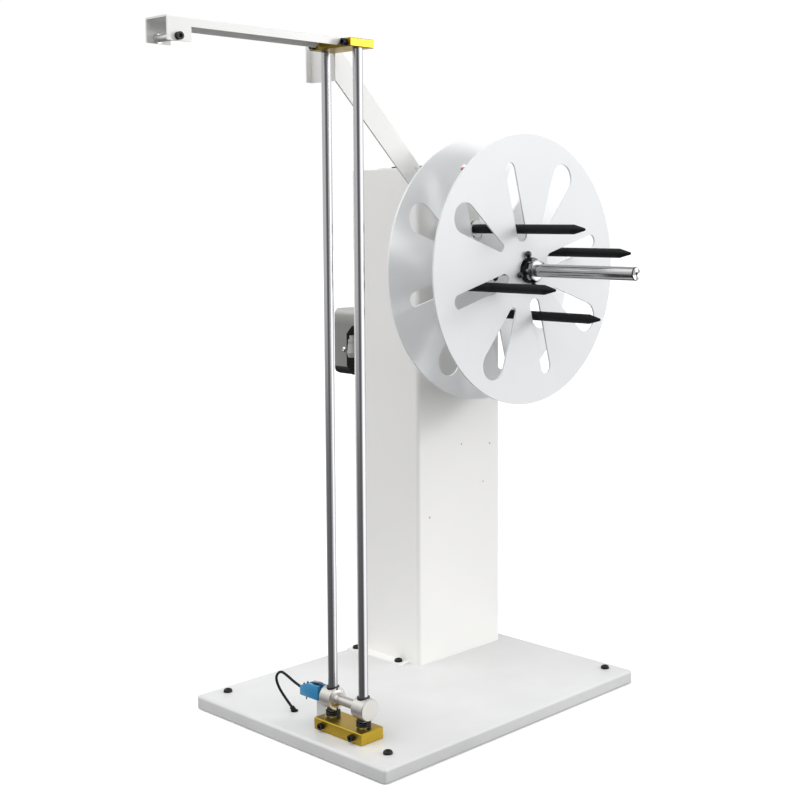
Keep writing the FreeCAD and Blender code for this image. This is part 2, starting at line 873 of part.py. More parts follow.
def front_hub():
    end = collar_end + ring_nut_width
    flange_back = front_disc_back - front_flange_thickness
    body = along_x(front_flange_radius, flange_back, front_disc_back, spindle_y, spindle_height)
    tube = along_x(front_tube_radius, front_disc_back, end, spindle_y, spindle_height)
    holes = [along_x(shaft_radius + running_clearance, flange_back - 1, end + 1, spindle_y, spindle_height)]
    holes += [lock_cylinder(index, lock_stem_radius + running_clearance, 0, front_tube_radius + 1)
              for index in range(4)]
    return body.fuse(tube).cut(holes).removeSplitter()


def lock_cylinder(index, radius, start, end):
    inner = spoke_point(lock_line, start, arm_angle(index))
    outward = spoke_point(lock_line, end, arm_angle(index)).sub(inner)
    return Part.makeCylinder(radius, end - start, inner, outward)


def screw_collar():
    ring = along_x(collar_radius, front_disc_face, collar_end, spindle_y, spindle_height)
    chamfered = [edge for edge in ring.Edges if isinstance(edge.Curve, Part.Circle)
                 and edge.BoundBox.XMin > collar_end - 0.1]
    ring = ring.makeChamfer(0.8, chamfered)
    holes = [along_x(front_tube_radius, front_disc_face - 1, collar_end + 1, spindle_y, spindle_height)]
    holes += [lock_cylinder(index, lock_stem_radius + running_clearance, front_tube_radius - 1,
                            collar_radius + 1) for index in range(4)]
    pocket = box(front_disc_face + 1.6, collar_end - 1.6, -pinch_slot_width / 2, pinch_slot_width / 2,
                 collar_radius - pinch_slot_depth, collar_radius + 2)
    pocket.rotate(Vector(0, 0, 0), x_axis, -(slot_angle - 40))
    pocket.translate(Vector(0, spindle_y, spindle_height))
    return ring.cut(holes + [pocket])


def ring_nut():
    start = collar_end
    end = start + ring_nut_width
    ring = along_x(ring_nut_radius, start, end, spindle_y, spindle_height)
    ring = ring.makeChamfer(ring_nut_groove, [edge for edge in ring.Edges if edge.BoundBox.XMax < start + 0.1])
    ring = ring.makeChamfer(ring_nut_bevel, [edge for edge in ring.Edges if edge.BoundBox.XMin > end - 0.1])
    cuts = [along_x(front_tube_radius, start - 1, end + 1, spindle_y, spindle_height)]
    for index in range(4):
        notch = box(start - 1, end + 1, ring_nut_radius - notch_depth, ring_nut_radius + 2,
                    -notch_width / 2, notch_width / 2)
        notch.rotate(Vector(0, 0, 0), x_axis, notch_angle + 90 * index)
        notch.translate(Vector(0, spindle_y, spindle_height))
        cuts.append(notch)
    return ring.cut(cuts)


def lock_screw(index):
    stem = lock_cylinder(index, lock_stem_radius, shaft_radius + running_clearance, lock_ball_seat)
    centre = spoke_point(lock_line, lock_ball_seat, arm_angle(index))
    ball = Part.makeSphere(lock_ball_radius, centre)
    return ball.fuse(stem).removeSplitter()


def pulley_radius(teeth):
    return teeth * belt_pitch / (2 * math.pi) - pitch_line_offset


def toothed_pulley(teeth, height, bore):
    radius = pulley_radius(teeth)
    half = belt_width / 2 + pulley_side_gap
    left = belt_centre - half
    right = belt_centre + half
    body = along_x(radius, left, right, spindle_y, height)
    grooves = []
    for tooth in range(teeth):
        turn = 2 * math.pi * (tooth + 0.5) / teeth
        grooves.append(along_x(tooth_groove_radius, left - 1, right + 1,
                               spindle_y + radius * math.sin(turn), height + radius * math.cos(turn)))
    body = body.cut(grooves)
    rim = radius + pulley_flange_height
    hub_end = right + pulley_flange_thickness + pulley_hub_length
    body = body.fuse([
        along_x(rim, left - pulley_flange_thickness, left, spindle_y, height),
        along_x(rim, right, right + pulley_flange_thickness, spindle_y, height),
        along_x(min(pulley_hub_radius, radius), right, hub_end, spindle_y, height),
    ])
    hole = along_x(bore, left - pulley_flange_thickness - 1, hub_end + 1, spindle_y, height)
    return body.cut(hole).removeSplitter()


def driven_pulley():
    return toothed_pulley(driven_teeth, spindle_height, shaft_seat_radius)


def drive_pulley():
    return toothed_pulley(drive_teeth, motor_height, motor_shaft_radius)


def drive_belt():
    start = belt_centre - belt_width / 2
    top = Vector(start, spindle_y, spindle_height)
    bottom = Vector(start, spindle_y, motor_height)
    inner_top = pulley_radius(driven_teeth) + belt_running_gap
    inner_bottom = pulley_radius(drive_teeth) + belt_running_gap
    outer = Part.Face(tangent_loop(top, bottom, inner_top + belt_thickness, inner_bottom + belt_thickness))
    inner = Part.Face(tangent_loop(top, bottom, inner_top, inner_bottom))
    return outer.cut(inner).extrude(Vector(belt_width, 0, 0))


def motor_body():
    left = column_left - motor_length
    half = motor_width / 2
    body = box(left, column_left, spindle_y - half, spindle_y + half, motor_height - half, motor_height + half)
    body = body.makeFillet(motor_corner_radius, edges_along(body, x_axis))
    rear = [edge for edge in body.Edges if edge.BoundBox.XMax < left + 0.1]
    body = body.makeChamfer(motor_end_chamfer, rear)
    body = body.cut(motor_heel(left, half))
    pilot = along_x(motor_pilot_radius, column_left, column_left + motor_pilot_depth, spindle_y, motor_height)
    body = body.fuse(pilot)
    bore = along_x(motor_shaft_radius + running_clearance, column_left - motor_length * 0.6,
                   column_left + motor_pilot_depth + 1, spindle_y, motor_height)
    holes = [along_x(m5_radius, column_left - 12.0, column_left + 1, y, z) for y, z in motor_screw_places()]
    side = spindle_y - half
    holes.append(along_y(m4_radius, motor_side_screw()[0], side - 1, side + m4_length, motor_side_screw()[1]))
    return body.cut([bore] + holes).removeSplitter()


def motor_heel(left, half):
    """Slope that takes the motor's lower rear edge off."""
    bottom = motor_height - half
    over = 1.0
    side = spindle_y - half - over
    corners = [
        Vector(left, side, bottom + motor_heel_height),
        Vector(left + motor_heel_length, side, bottom),
        Vector(left + motor_heel_length, side, bottom - over),
        Vector(left - over, side, bottom - over),
        Vector(left - over, side, bottom + motor_heel_height),
    ]
    face = Part.Face(Part.makePolygon(corners + corners[:1]))
    return face.extrude(Vector(0, motor_width + 2 * over, 0))


def motor_side_screw():
    return column_left - motor_side_inset, motor_height - motor_width * 0.118


def motor_screws():
    screw = plain_screw(m5_cap_radius, m5_cap_height, m5_radius, column_sheet + 12.0)
    group = []
    for y, z in motor_screw_places():
        group.append(place(screw, Vector(column_left + column_sheet, y, z), x_axis))
    side = button_screw(m4_head_radius, m4_head_height, m4_radius, m4_length)
    x, z = motor_side_screw()
    group.append(place(side, Vector(x, spindle_y - motor_width / 2, z), -y_axis))
    return Part.makeCompound(group)


def motor_shaft():
    end = belt_centre + belt_width / 2 + pulley_side_gap + pulley_flange_thickness + pulley_hub_length
    return along_x(motor_shaft_radius, column_left - motor_length * 0.6 + 0.5, end + 4.0,
                   spindle_y, motor_height)


def terminal_place():
    right = column_left - terminal_gap
    front = spindle_y - motor_width / 2 - terminal_depth
    return right, front, motor_height - terminal_drop


def motor_terminal_box():
    right, front, centre = terminal_place()
    half = terminal_height / 2
    body = box(right - terminal_length, right, front, front + terminal_depth, centre - half, centre + half)
    body = body.makeChamfer(terminal_chamfer, edges_along(body, y_axis))
    rim = [edge for edge in body.Edges if edge.BoundBox.YMax < front + 0.1]
    return body.makeChamfer(1.5, rim)


def cable_gland(hole_radius):
    """Cable gland standing on Z = 0, with its blind cable seal on top."""
    body = Part.makeCylinder(gland_flange_radius, gland_flange_thickness)
    dome = Part.makeCone(gland_dome_radius, gland_dome_radius * 0.78, gland_dome_length,
                         Vector(0, 0, gland_flange_thickness))
    top = gland_flange_thickness + gland_dome_length
    hole = Part.makeCylinder(hole_radius, gland_hole_depth + 1, Vector(0, 0, top - gland_hole_depth))
    return body.fuse(dome).cut(hole).removeSplitter()


def elbow_gland():
    """Elbow gland standing on Z = 0, its inlet turned to +Y, with a nut and a blind cap on top."""
    foot = Part.makeCone(elbow_radius * 0.84, elbow_radius, elbow_height * 0.3)
    cheek = Part.makeCone(elbow_radius, elbow_nut_radius, elbow_height * 0.7, Vector(0, 0, elbow_height * 0.3))
    neck_top = elbow_height + elbow_groove
    nut_top = neck_top + elbow_nut_height
    cap_start = nut_top + elbow_groove
    neck = Part.makeCylinder(elbow_cap_radius, cap_start + elbow_cap_height)
    nut = Part.makeCylinder(elbow_nut_radius, elbow_nut_height, Vector(0, 0, neck_top))
    inlet = along_y(elbow_cap_radius, 0, 0, elbow_stand, elbow_height * 0.4)
    top = cap_start + elbow_cap_height
    hole = Part.makeCylinder(gland_hole_radius * 0.8, gland_hole_depth + 1, Vector(0, 0, top - gland_hole_depth))
    return foot.fuse([cheek, neck, nut, inlet]).cut(hole).removeSplitter()


def cable_glands():
    right, front, centre = terminal_place()
    motor_gland = elbow_gland()
    motor_gland.translate(Vector(right - elbow_inset, front - elbow_stand, centre - elbow_drop))
    mains_y = spindle_y + mains_gland_offset
    mains_gland = place(cable_gland(gland_hole_radius), Vector(column_left, mains_y, mains_gland_height), -x_axis)
    stem = along_x(gland_dome_radius, column_left, column_left + column_sheet + 7.0, mains_y, mains_gland_height)
    return Part.makeCompound([motor_gland, mains_gland.fuse(stem).removeSplitter()])


def speed_controller():
    x0 = column_centre_x - controller_width / 2
    wall = column_front + column_sheet
    body = box(x0, x0 + controller_width, wall, wall + controller_depth, controller_bottom,
               controller_bottom + controller_height)
    fins = []
    pitch = (controller_width - fin_thickness) / (fin_count - 1)
    for index in range(fin_count):
        left = x0 + pitch * index
        fins.append(box(left, left + fin_thickness, wall + controller_depth,
                        wall + controller_depth + fin_depth, controller_bottom,
                        controller_bottom + controller_height))
    return body.fuse(fins).removeSplitter()


def rod_block(length, line, width, bottom, top):
    front = line - width / 2
    block = box(guide_centre - length / 2, guide_centre + length / 2, front, front + width, bottom, top)
    block = block.makeChamfer(block_chamfer, block.Edges)
    return block.cut([along_z(rod_radius, x, rod_line, bottom - 1, top + 1) for x in rod_places])


def lower_rod_block():
    block = rod_block(lower_block_length, rod_line, lower_block_width, base_top, lower_block_top)
    depth = tray_under + m6_length
    holes = [along_z(m6_radius, x, rod_line, base_top - 1, depth) for x in block_bolt_places()]
    middle = base_top + lower_block_height / 2
    front = rod_line - lower_block_width / 2
    holes += [along_y(m5_radius, x, front - 1, rod_line - rod_radius, middle) for x in rod_places]
    return block.cut(holes)


def upper_tab_screws():
    x = guide_centre - upper_block_length / 2 + brace_tab_length / 2
    return ((x, upper_block_rear - brace_tab_width / 2),)


def guide_arm_screws():
    return ((guide_centre, upper_block_front + 8.0), (guide_centre, upper_block_rear - 8.0))


def upper_rod_block():
    block = rod_block(upper_block_length, upper_block_line, upper_block_width, upper_block_bottom, upper_block_top)
    holes = []
    depth = upper_block_top - block_screw_length + guide_arm_sheet
    for x, y in upper_tab_screws() + guide_arm_screws():
        holes.append(along_z(m5_radius, x, y, depth, upper_block_top + 1))
    middle = upper_block_top - upper_block_height / 2
    holes += [along_y(m5_radius, x, upper_block_front - 1, rod_line - rod_radius, middle) for x in rod_places]
    return block.cut(holes)


def rod_clamp_screws():
    """Cap screws in the front of both blocks, one against each rod."""
    group = []
    for front, height in ((rod_line - lower_block_width / 2, base_top + lower_block_height / 2),
                          (upper_block_front, upper_block_top - upper_block_height / 2)):
        screw = cap_screw(m5_cap_radius, m5_cap_height, m5_radius, rod_line - rod_radius - front)
        for x in rod_places:
            group.append(place(screw, Vector(x, front, height), -y_axis))
    return Part.makeCompound(group)


def guide_rod(index):
    return along_z(rod_radius, rod_places[index], rod_line, base_top, upper_block_top)


def guide_arm():
    half = guide_arm_width / 2
    left = guide_centre - half
    right = guide_centre + half
    tip = -guide_arm_reach
    rear = upper_block_rear
    low = guide_arm_top - lug_depth
    outer = box(left, right, tip, rear, low, guide_arm_top)
    folds = [edge for edge in edges_along(outer, y_axis) if edge.BoundBox.ZMin > guide_arm_top - 0.1]
    outer = outer.makeFillet(guide_arm_fold_radius, folds)
    sheet = guide_arm_sheet
    inner = box(left + sheet, right - sheet, tip - 1, rear + 1, low - 1, guide_arm_top - sheet)
    folds = [edge for edge in edges_along(inner, y_axis) if edge.BoundBox.ZMin > guide_arm_top - sheet - 0.1]
    inner = inner.makeFillet(guide_arm_fold_radius - sheet, folds)
    channel = outer.cut(inner)
    end = upper_block_front - block_gap
    shallow = guide_arm_top - guide_arm_depth
    points = [
        Vector(left - 1, tip + lug_length, low - 1),
        Vector(left - 1, tip + lug_length, shallow),
        Vector(left - 1, end - arm_end_bevel, shallow),
        Vector(left - 1, end, shallow + arm_end_bevel),
        Vector(left - 1, end, guide_arm_top - sheet),
        Vector(left - 1, rear + 1, guide_arm_top - sheet),
        Vector(left - 1, rear + 1, low - 1),
        Vector(left - 1, tip + lug_length, low - 1),
    ]
    under = Part.Face(Part.makePolygon(points)).extrude(Vector(guide_arm_width + 2, 0, 0))
    holes = [along_x(axle_radius, left - 1, right + 1, roller_y, roller_z)]
    for x, y in guide_arm_screws():
        holes.append(along_z(m5_radius + clearance_hole, x, y, guide_arm_top - sheet - 1, guide_arm_top + 1))
    return channel.cut([under] + holes).removeSplitter()


def roller_axle():
    left = guide_centre - guide_arm_width / 2
    right = guide_centre + guide_arm_width / 2
    nut_width = 4.0
    screw = cap_screw(m5_cap_radius, m5_cap_height, axle_radius, guide_arm_width + nut_width + 1.0)
    screw = place(screw, Vector(right, roller_y, roller_z), x_axis)
    nut = place(hexagon(8.0, nut_width), Vector(left, roller_y, roller_z), -x_axis)
    nut = nut.cut(along_x(axle_radius, left - nut_width - 1, left + 1, roller_y, roller_z))
    return Part.makeCompound([screw, nut])


def guide_roller():
    half = guide_arm_width / 2 - guide_arm_sheet - roller_side_play
    body = along_x(roller_radius, guide_centre - half, guide_centre + half, roller_y, roller_z)
    waist = half * 0.8
    ring = along_x(roller_radius + 1, guide_centre - waist, guide_centre + waist, roller_y, roller_z)
    core = along_x(roller_radius - roller_groove, guide_centre - waist, guide_centre + waist,
                   roller_y, roller_z)
    bore = along_x(axle_radius + running_clearance, guide_centre - half - 1, guide_centre + half + 1,
                   roller_y, roller_z)
    return body.cut(ring.cut(core)).cut(bore)


def brace_point(reach, height, side):
    return brace_start + brace_direction * reach + brace_side * side + z_axis * height


def brace_strut():
    top = brace_base_height + brace_face_height
    foot_reach = brace_cut_length + brace_overlap
    sink = brace_sheet / 2
    outline = (
        (0, brace_base_height),
        (brace_cut_length, brace_base_height - brace_slope * brace_cut_length),
        (brace_cut_length, brace_foot_top - sink),
        (foot_reach + sink / brace_slope, brace_foot_top - sink),
        ((top - guide_arm_top) / brace_slope, guide_arm_top),
        (0, guide_arm_top),
        (0, brace_base_height),
    )
    points = [brace_point(reach, height, -brace_sheet / 2) for reach, height in outline]
    face = Part.Face(Part.makePolygon(points)).extrude(brace_side * brace_sheet)
    foot_x = column_right - brace_foot_inset
    foot_y = column_front + brace_foot_inset
    foot = box(foot_x - brace_foot_length, foot_x, foot_y, foot_y + brace_foot_width, column_top, brace_foot_top)
    fold_x = brace_start.x + brace_sheet
    front = upper_block_rear
    end = box(brace_end_left, fold_x, front, front + brace_sheet, brace_base_height, guide_arm_top)
    lip = box(brace_end_left, brace_end_left + brace_sheet, front - brace_lip, front + brace_sheet,
              brace_base_height, guide_arm_top)
    neck = brace_neck(fold_x, front)
    tab_left = guide_centre - upper_block_length / 2
    tab = box(tab_left, tab_left + brace_tab_length, front - brace_tab_width, front + brace_sheet,
              upper_block_top, guide_arm_top)
    brace = face.fuse([foot, end, lip, neck, tab]).removeSplitter()
    holes = []
    for x, y in brace_foot_screws():
        holes.append(along_z(m5_radius + clearance_hole, x, y, column_top - 1, brace_foot_top + 1))
    for x, y in upper_tab_screws():
        holes.append(along_z(m5_radius + clearance_hole, x, y, upper_block_top - 1, guide_arm_top + 1))
    return brace.cut(holes).removeSplitter()


def brace_neck(fold_x, front):
    """Short wedge of sheet round the fold between the end plate and the long face."""
    start = brace_point(0, brace_base_height, -brace_sheet / 2)
    far = brace_point(0, brace_base_height, brace_sheet / 2)
    points = [
        Vector(fold_x - brace_sheet, front, brace_base_height),
        Vector(fold_x, front, brace_base_height),
        far,
        start,
        Vector(fold_x - brace_sheet, front, brace_base_height),
    ]
    return Part.Face(Part.makePolygon(points)).extrude(Vector(0, 0, guide_arm_top - brace_base_height))


def frame_screws():
    foot_screw = button_screw(m5_button_radius, m5_button_height, m5_radius, 8.0)
    block_screw = button_screw(m5_button_radius, m5_button_height, m5_radius, block_screw_length)
    group = []
    for x, y in brace_foot_screws():
        group.append(place(foot_screw, Vector(x, y, column_top + brace_sheet), z_axis))
    for x, y in upper_tab_screws() + guide_arm_screws():
        group.append(place(block_screw, Vector(x, y, guide_arm_top), z_axis))
    return Part.makeCompound(group)


def dancer_bar():
    half = dancer_length / 2
    shoulder = half - drum_length
    chamfer = drum_edge_chamfer
    neck = shoulder - drum_shoulder_radius
    start = Vector(guide_centre, rod_line, dancer_height)

    def at(x, radius):
        return start + Vector(x, 0, radius)

    bend = drum_shoulder_radius * (1 - math.sqrt(0.5))
    flare = bar_radius + drum_shoulder_radius
    edges = [
        Part.LineSegment(at(-half, 0), at(-half, drum_radius - chamfer)),
        Part.LineSegment(at(-half, drum_radius - chamfer), at(chamfer - half, drum_radius)),
        Part.LineSegment(at(chamfer - half, drum_radius), at(-shoulder, drum_radius)),
        Part.LineSegment(at(-shoulder, drum_radius), at(-shoulder, flare)),
        Part.Arc(at(-shoulder, flare), at(bend - shoulder, bar_radius + bend), at(-neck, bar_radius)),
        Part.LineSegment(at(-neck, bar_radius), at(neck, bar_radius)),
        Part.Arc(at(neck, bar_radius), at(shoulder - bend, bar_radius + bend), at(shoulder, flare)),
        Part.LineSegment(at(shoulder, flare), at(shoulder, drum_radius)),
        Part.LineSegment(at(shoulder, drum_radius), at(half - chamfer, drum_radius)),
        Part.LineSegment(at(half - chamfer, drum_radius), at(half, drum_radius - chamfer)),
        Part.LineSegment(at(half, drum_radius - chamfer), at(half, 0)),
        Part.LineSegment(at(half, 0), at(-half, 0)),
    ]
    profile = Part.Face(Part.Wire([edge.toShape() for edge in edges]))
    bar = profile.revolve(start, x_axis, 360)
    holes = [along_z(bush_radius, x, rod_line, dancer_height - drum_radius - 1,
                     dancer_height + drum_radius + 1) for x in rod_places]
    return bar.cut(holes)


def dancer_bushes():
    group = []
    for x in rod_places:
        bush = along_z(bush_radius, x, rod_line, dancer_height - bush_half, dancer_height + bush_half)
        bore = along_z(rod_radius + running_clearance, x, rod_line, dancer_height - bush_half - 1,
                       dancer_height + bush_half + 1)
        group.append(bush.cut(bore))
    return Part.makeCompound(group)


def bend_pair(start, start_heading, end, end_heading):
    """Two arcs that meet smoothly and leave and arrive along the given headings."""
    chord = end.sub(start)
    both = start_heading + end_heading
    square = both.dot(both) - 4
    cross = chord.dot(both)
    reach = (cross - math.sqrt(cross * cross - square * chord.dot(chord))) / square
    first_corner = start + start_heading * reach
    second_corner = end - end_heading * reach
    middle = (first_corner + second_corner) * 0.5
    arcs = []
    for before, corner, after in ((start, first_corner, middle), (middle, second_corner, end)):
        back = (before - corner).normalize()
        ahead = (after - corner).normalize()
        half = math.acos(max(-1.0, min(1.0, back.dot(ahead)))) / 2
        bisector = (back + ahead).normalize()
        radius = reach * math.tan(half)
        crown = corner + bisector * (reach / math.cos(half) - radius)
        arcs.append(Part.Arc(before, crown, after).toShape())
    return arcs


def stop_spring(x):
    bottom = lower_block_top + spring_seat_gap + spring_wire_radius
    rise = (spring_height - 2 * spring_wire_radius) / spring_quarters
    slope = rise / (math.pi / 2)

    def point(quarter):
        turn = quarter * math.pi / 2
        return Vector(x + spring_mean_radius * math.cos(turn), rod_line + spring_mean_radius * math.sin(turn),
                      bottom + rise * quarter)

    def heading(quarter):
        turn = quarter * math.pi / 2
        return Vector(-spring_mean_radius * math.sin(turn), spring_mean_radius * math.cos(turn),
                      slope).normalize()

    edges = []
    for quarter in range(spring_quarters):
        edges += bend_pair(point(quarter), heading(quarter), point(quarter + 1), heading(quarter + 1))
    section = Part.Wire(Part.makeCircle(spring_wire_radius, point(0), heading(0)))
    return Part.Wire(edges).makePipeShell([section], True, False)


def least_turn_gap():
    samples = []
    rise = (spring_height - 2 * spring_wire_radius) / spring_quarters
    for step in range(spring_quarters * 12 + 1):
        turn = step * math.pi / 24
        samples.append(Vector(spring_mean_radius * math.cos(turn), spring_mean_radius * math.sin(turn),
                              rise * step / 12))
    least = 1e9
    for first in range(len(samples)):
        for second in range(first + 24, len(samples)):
            least = min(least, (samples[first] - samples[second]).Length)
    return least - 2 * spring_wire_radius


def stop_springs():
    print("least gap between spring turns: %.2f mm" % least_turn_gap())
    return Part.makeCompound([stop_spring(x) for x in rod_places])


def sensor_screw_places():
    left = bracket_left + 3.5
    height = sensor_bottom + sensor_height / 2
    return ((left, height), (left + 9.0, height))


def sensor_bracket():
    left = bracket_left
    right = left + bracket_width
    top = sensor_bottom + sensor_height - bracket_top_inset
    plate = box(left, right, bracket_front, bracket_front + bracket_sheet, base_top, top)
    foot = box(left, right, bracket_front, bracket_front + bracket_foot, base_top, base_top + bracket_sheet)
    body = plate.fuse(foot).removeSplitter()
    holes = []
    for x, z in sensor_screw_places():
        holes.append(along_y(m3_radius, x, bracket_front - 1, bracket_front + bracket_sheet + 1, z))
    holes.append(along_z(m4_radius + clearance_hole, left + bracket_width / 2,
                         bracket_front + bracket_foot * 0.62, base_top - 1, base_top + bracket_sheet + 1))
    return body.cut(holes)


def lever_pivot():
    return sensor_left + lever_pivot_inset, sensor_bottom + sensor_height - lever_pivot_depth


def sensor_body():
    right = sensor_left + sensor_length
    rear = sensor_front + sensor_depth
    top = sensor_bottom + sensor_height
    outline = [
        Vector(sensor_left, sensor_front, sensor_bottom),
        Vector(right, sensor_front, sensor_bottom),
        Vector(right, sensor_front, top),
        Vector(sensor_left + sensor_slope_length, sensor_front, top),
        Vector(sensor_left, sensor_front, top - sensor_slope_height),
        Vector(sensor_left, sensor_front, sensor_bottom),
    ]
    body = Part.Face(Part.makePolygon(outline)).extrude(Vector(0, sensor_depth, 0))
    body = body.fuse(cable_exit()).removeSplitter()
    pivot_x, pivot_z = lever_pivot()
    middle = (sensor_front + rear) / 2
    half = lever_slot_width / 2
    slot = box(sensor_left + lever_slot_inset, right + 1, middle - half, middle + half, top - lever_slot_depth,
               top + 1)
    reach = half + lever_pin_depth
    holes = [slot, along_y(lever_pin_radius + running_clearance, pivot_x, middle - reach, middle + reach, pivot_z)]
    for x, z in sensor_screw_places():
        holes.append(along_y(m3_radius, x, sensor_front + sensor_screw_cover, rear + 1, z))
    return body.cut(holes)


def cable_exit():
    """Short sleeve on the switch, square to the cable's first run."""
    start = Vector(*cable_points[0])
    second = Vector(*cable_points[1])
    inward = (start - second).normalize()
    return Part.makeCylinder(cable_radius + 1.2, 6.5, start, inward)


def sensor_screws():
    length = sensor_depth + bracket_sheet - sensor_screw_cover
    screw = button_screw(m3_head_radius, m3_head_height, m3_radius, length)
    rear = bracket_front + bracket_sheet
    group = [place(screw, Vector(x, rear, z), y_axis) for x, z in sensor_screw_places()]
    foot = button_screw(m4_head_radius, m4_head_height, m4_radius, bracket_sheet)
    group.append(place(foot, Vector(bracket_left + bracket_width / 2, bracket_front + bracket_foot * 0.62,
                                    base_top + bracket_sheet), z_axis))
    return Part.makeCompound(group)


def sensor_lever():
    """Curved leaf on a cross pin, its low end in the slot of the switch and its tip above it."""
    pivot_x, pivot_z = lever_pivot()
    middle = sensor_front + sensor_depth / 2
    front = middle - lever_width / 2

    def at(x, z):
        return Vector(pivot_x + x, front, pivot_z + z)

    tail = -lever_pin_radius
    tip = lever_reach
    crown = lever_rise
    thick = lever_sheet
    edges = [
        Part.LineSegment(at(tail, thick / 2), at(tip * 0.25, crown * 0.62)),
        Part.Arc(at(tip * 0.25, crown * 0.62), at(tip * 0.62, crown), at(tip, crown * 0.9)),
        Part.LineSegment(at(tip, crown * 0.9), at(tip, crown * 0.9 - thick)),
        Part.Arc(at(tip, crown * 0.9 - thick), at(tip * 0.62, crown - thick),
                 at(tip * 0.27, crown * 0.62 - thick)),
        Part.LineSegment(at(tip * 0.27, crown * 0.62 - thick), at(tail, -thick / 2)),
        Part.LineSegment(at(tail, -thick / 2), at(tail, thick / 2)),
    ]
    leaf = Part.Face(Part.Wire([edge.toShape() for edge in edges])).extrude(Vector(0, lever_width, 0))
    reach = lever_slot_width / 2 + lever_pin_depth - lever_pin_end_play
    pin = along_y(lever_pin_radius, pivot_x, middle - reach, middle + reach, pivot_z)
    return leaf.fuse(pin).removeSplitter()


def cable_radii():
    radii = []
    for index in range(1, len(cable_points) - 1):
        before = Vector(*cable_points[index - 1])
        corner = Vector(*cable_points[index])
        after = Vector(*cable_points[index + 1])
        incoming = corner - before
        outgoing = after - corner
        turn = incoming.getAngle(outgoing)
        reach = 0.45 * min(incoming.Length, outgoing.Length)
        radii.append((corner, incoming.normalize(), outgoing.normalize(), turn, reach))
    return radii


def sensor_cable():
    edges = []
    last = Vector(*cable_points[0])
    length = 0.0
    report = []
    for corner, incoming, outgoing, turn, reach in cable_radii():
        radius = reach / math.tan(turn / 2)
        start = corner - incoming * reach
        end = corner + outgoing * reach
        inward = (outgoing - incoming).normalize()
        crown = corner + inward * (radius / math.cos(turn / 2) - radius)
        edges.append(Part.LineSegment(last, start).toShape())
        edges.append(Part.Arc(start, crown, end).toShape())
        length += start.sub(last).Length + radius * turn
        last = end
        report.append("%.1f" % radius)
    finish = Vector(*cable_points[-1])
    edges.append(Part.LineSegment(last, finish).toShape())
    length += finish.sub(last).Length
    heading = Vector(*cable_points[1]).sub(Vector(*cable_points[0]))
    section = Part.Wire(Part.makeCircle(cable_radius, Vector(*cable_points[0]), heading))
    cable = Part.Wire(edges).makePipeShell([section], True, False)
    share = cable.Volume / (math.pi * cable_radius ** 2 * length)
    print("cable length %.1f mm, radii %s, volume share %.3f" % (length, " ".join(report), share))
    return cable


def cable_grommet():
    finish = Vector(*cable_points[-1])
    heading = (finish - Vector(*cable_points[-2])).normalize()
    flange = along_z(grommet_radius, grommet_x, grommet_y, base_top, base_top + grommet_flange_thickness)
    neck = along_z(grommet_neck_radius, grommet_x, grommet_y, tray_under - 2.0, base_top)
    lip = along_z(grommet_radius, grommet_x, grommet_y, tray_under - 3.6, tray_under)
    depth = (finish.z - base_top) / -heading.z
    sleeve = Part.makeCylinder(cable_radius + 1.3, depth, finish, heading)
    reach = 4 * grommet_radius
    trim = box(grommet_x - reach, grommet_x + reach, grommet_y - reach, grommet_y + reach,
               base_top - reach, base_top)
    return flange.fuse([neck, lip, sleeve.cut(trim)]).removeSplitter()


def switch_bezel():
    half_x = switch_width / 2
    half_y = switch_length / 2
    rim = box(switch_x - half_x, switch_x + half_x, switch_y - half_y, switch_y + half_y,
              column_top, column_top + switch_bezel_height)
    rim = rim.makeFillet(2.0, edges_along(rim, z_axis))
    inner_x = half_x - switch_wall
    inner_y = half_y - switch_wall
    body = box(switch_x - inner_x, switch_x + inner_x, switch_y - inner_y, switch_y + inner_y,
               column_top - switch_body_depth, column_top)
    wall = switch_body_wall
    well = box(switch_x - inner_x + wall, switch_x + inner_x - wall, switch_y - inner_y + wall,
               switch_y + inner_y - wall, column_top - 5.5, column_top + switch_bezel_height + 1)
    centre = rocker_centre()
    reach = inner_x - wall + rocker_pin_length + rocker_pin_end_play
    pivot = along_x(rocker_pin_radius + running_clearance, centre.x - reach, centre.x + reach,
                    centre.y, centre.z)
    return rim.fuse(body).cut([well, pivot]).removeSplitter()


def rocker_centre():
    return Vector(switch_x, switch_y, column_top - rocker_pin_drop)


def switch_rocker():
    """Two-winged rocker on a pin at each end, tilted to its off position."""
    centre = rocker_centre()
    wall = switch_wall + switch_body_wall
    half_x = switch_width / 2 - wall - rocker_play
    half_y = switch_length / 2 - wall - rocker_play * 3
    rim = centre.z + rocker_pin_drop + switch_bezel_height
    high = rim + rocker_rise * 0.55
    left = centre.x - half_x
    points = [
        Vector(left, centre.y - half_y, centre.z + rocker_pin_radius),
        Vector(left, centre.y - half_y, high),
        Vector(left, centre.y, rim + rocker_rise * 0.25),
        Vector(left, centre.y + half_y, high),
        Vector(left, centre.y + half_y, centre.z + rocker_pin_radius),
        Vector(left, centre.y, centre.z - rocker_pin_radius * 1.6),
        Vector(left, centre.y - half_y, centre.z + rocker_pin_radius),
    ]
    body = Part.Face(Part.makePolygon(points)).extrude(Vector(2 * half_x, 0, 0))
    reach = half_x + rocker_play + rocker_pin_length
    body = body.fuse(along_x(rocker_pin_radius, centre.x - reach, centre.x + reach, centre.y, centre.z))
    body.rotate(centre, x_axis, -rocker_tilt)
    return body.removeSplitter()


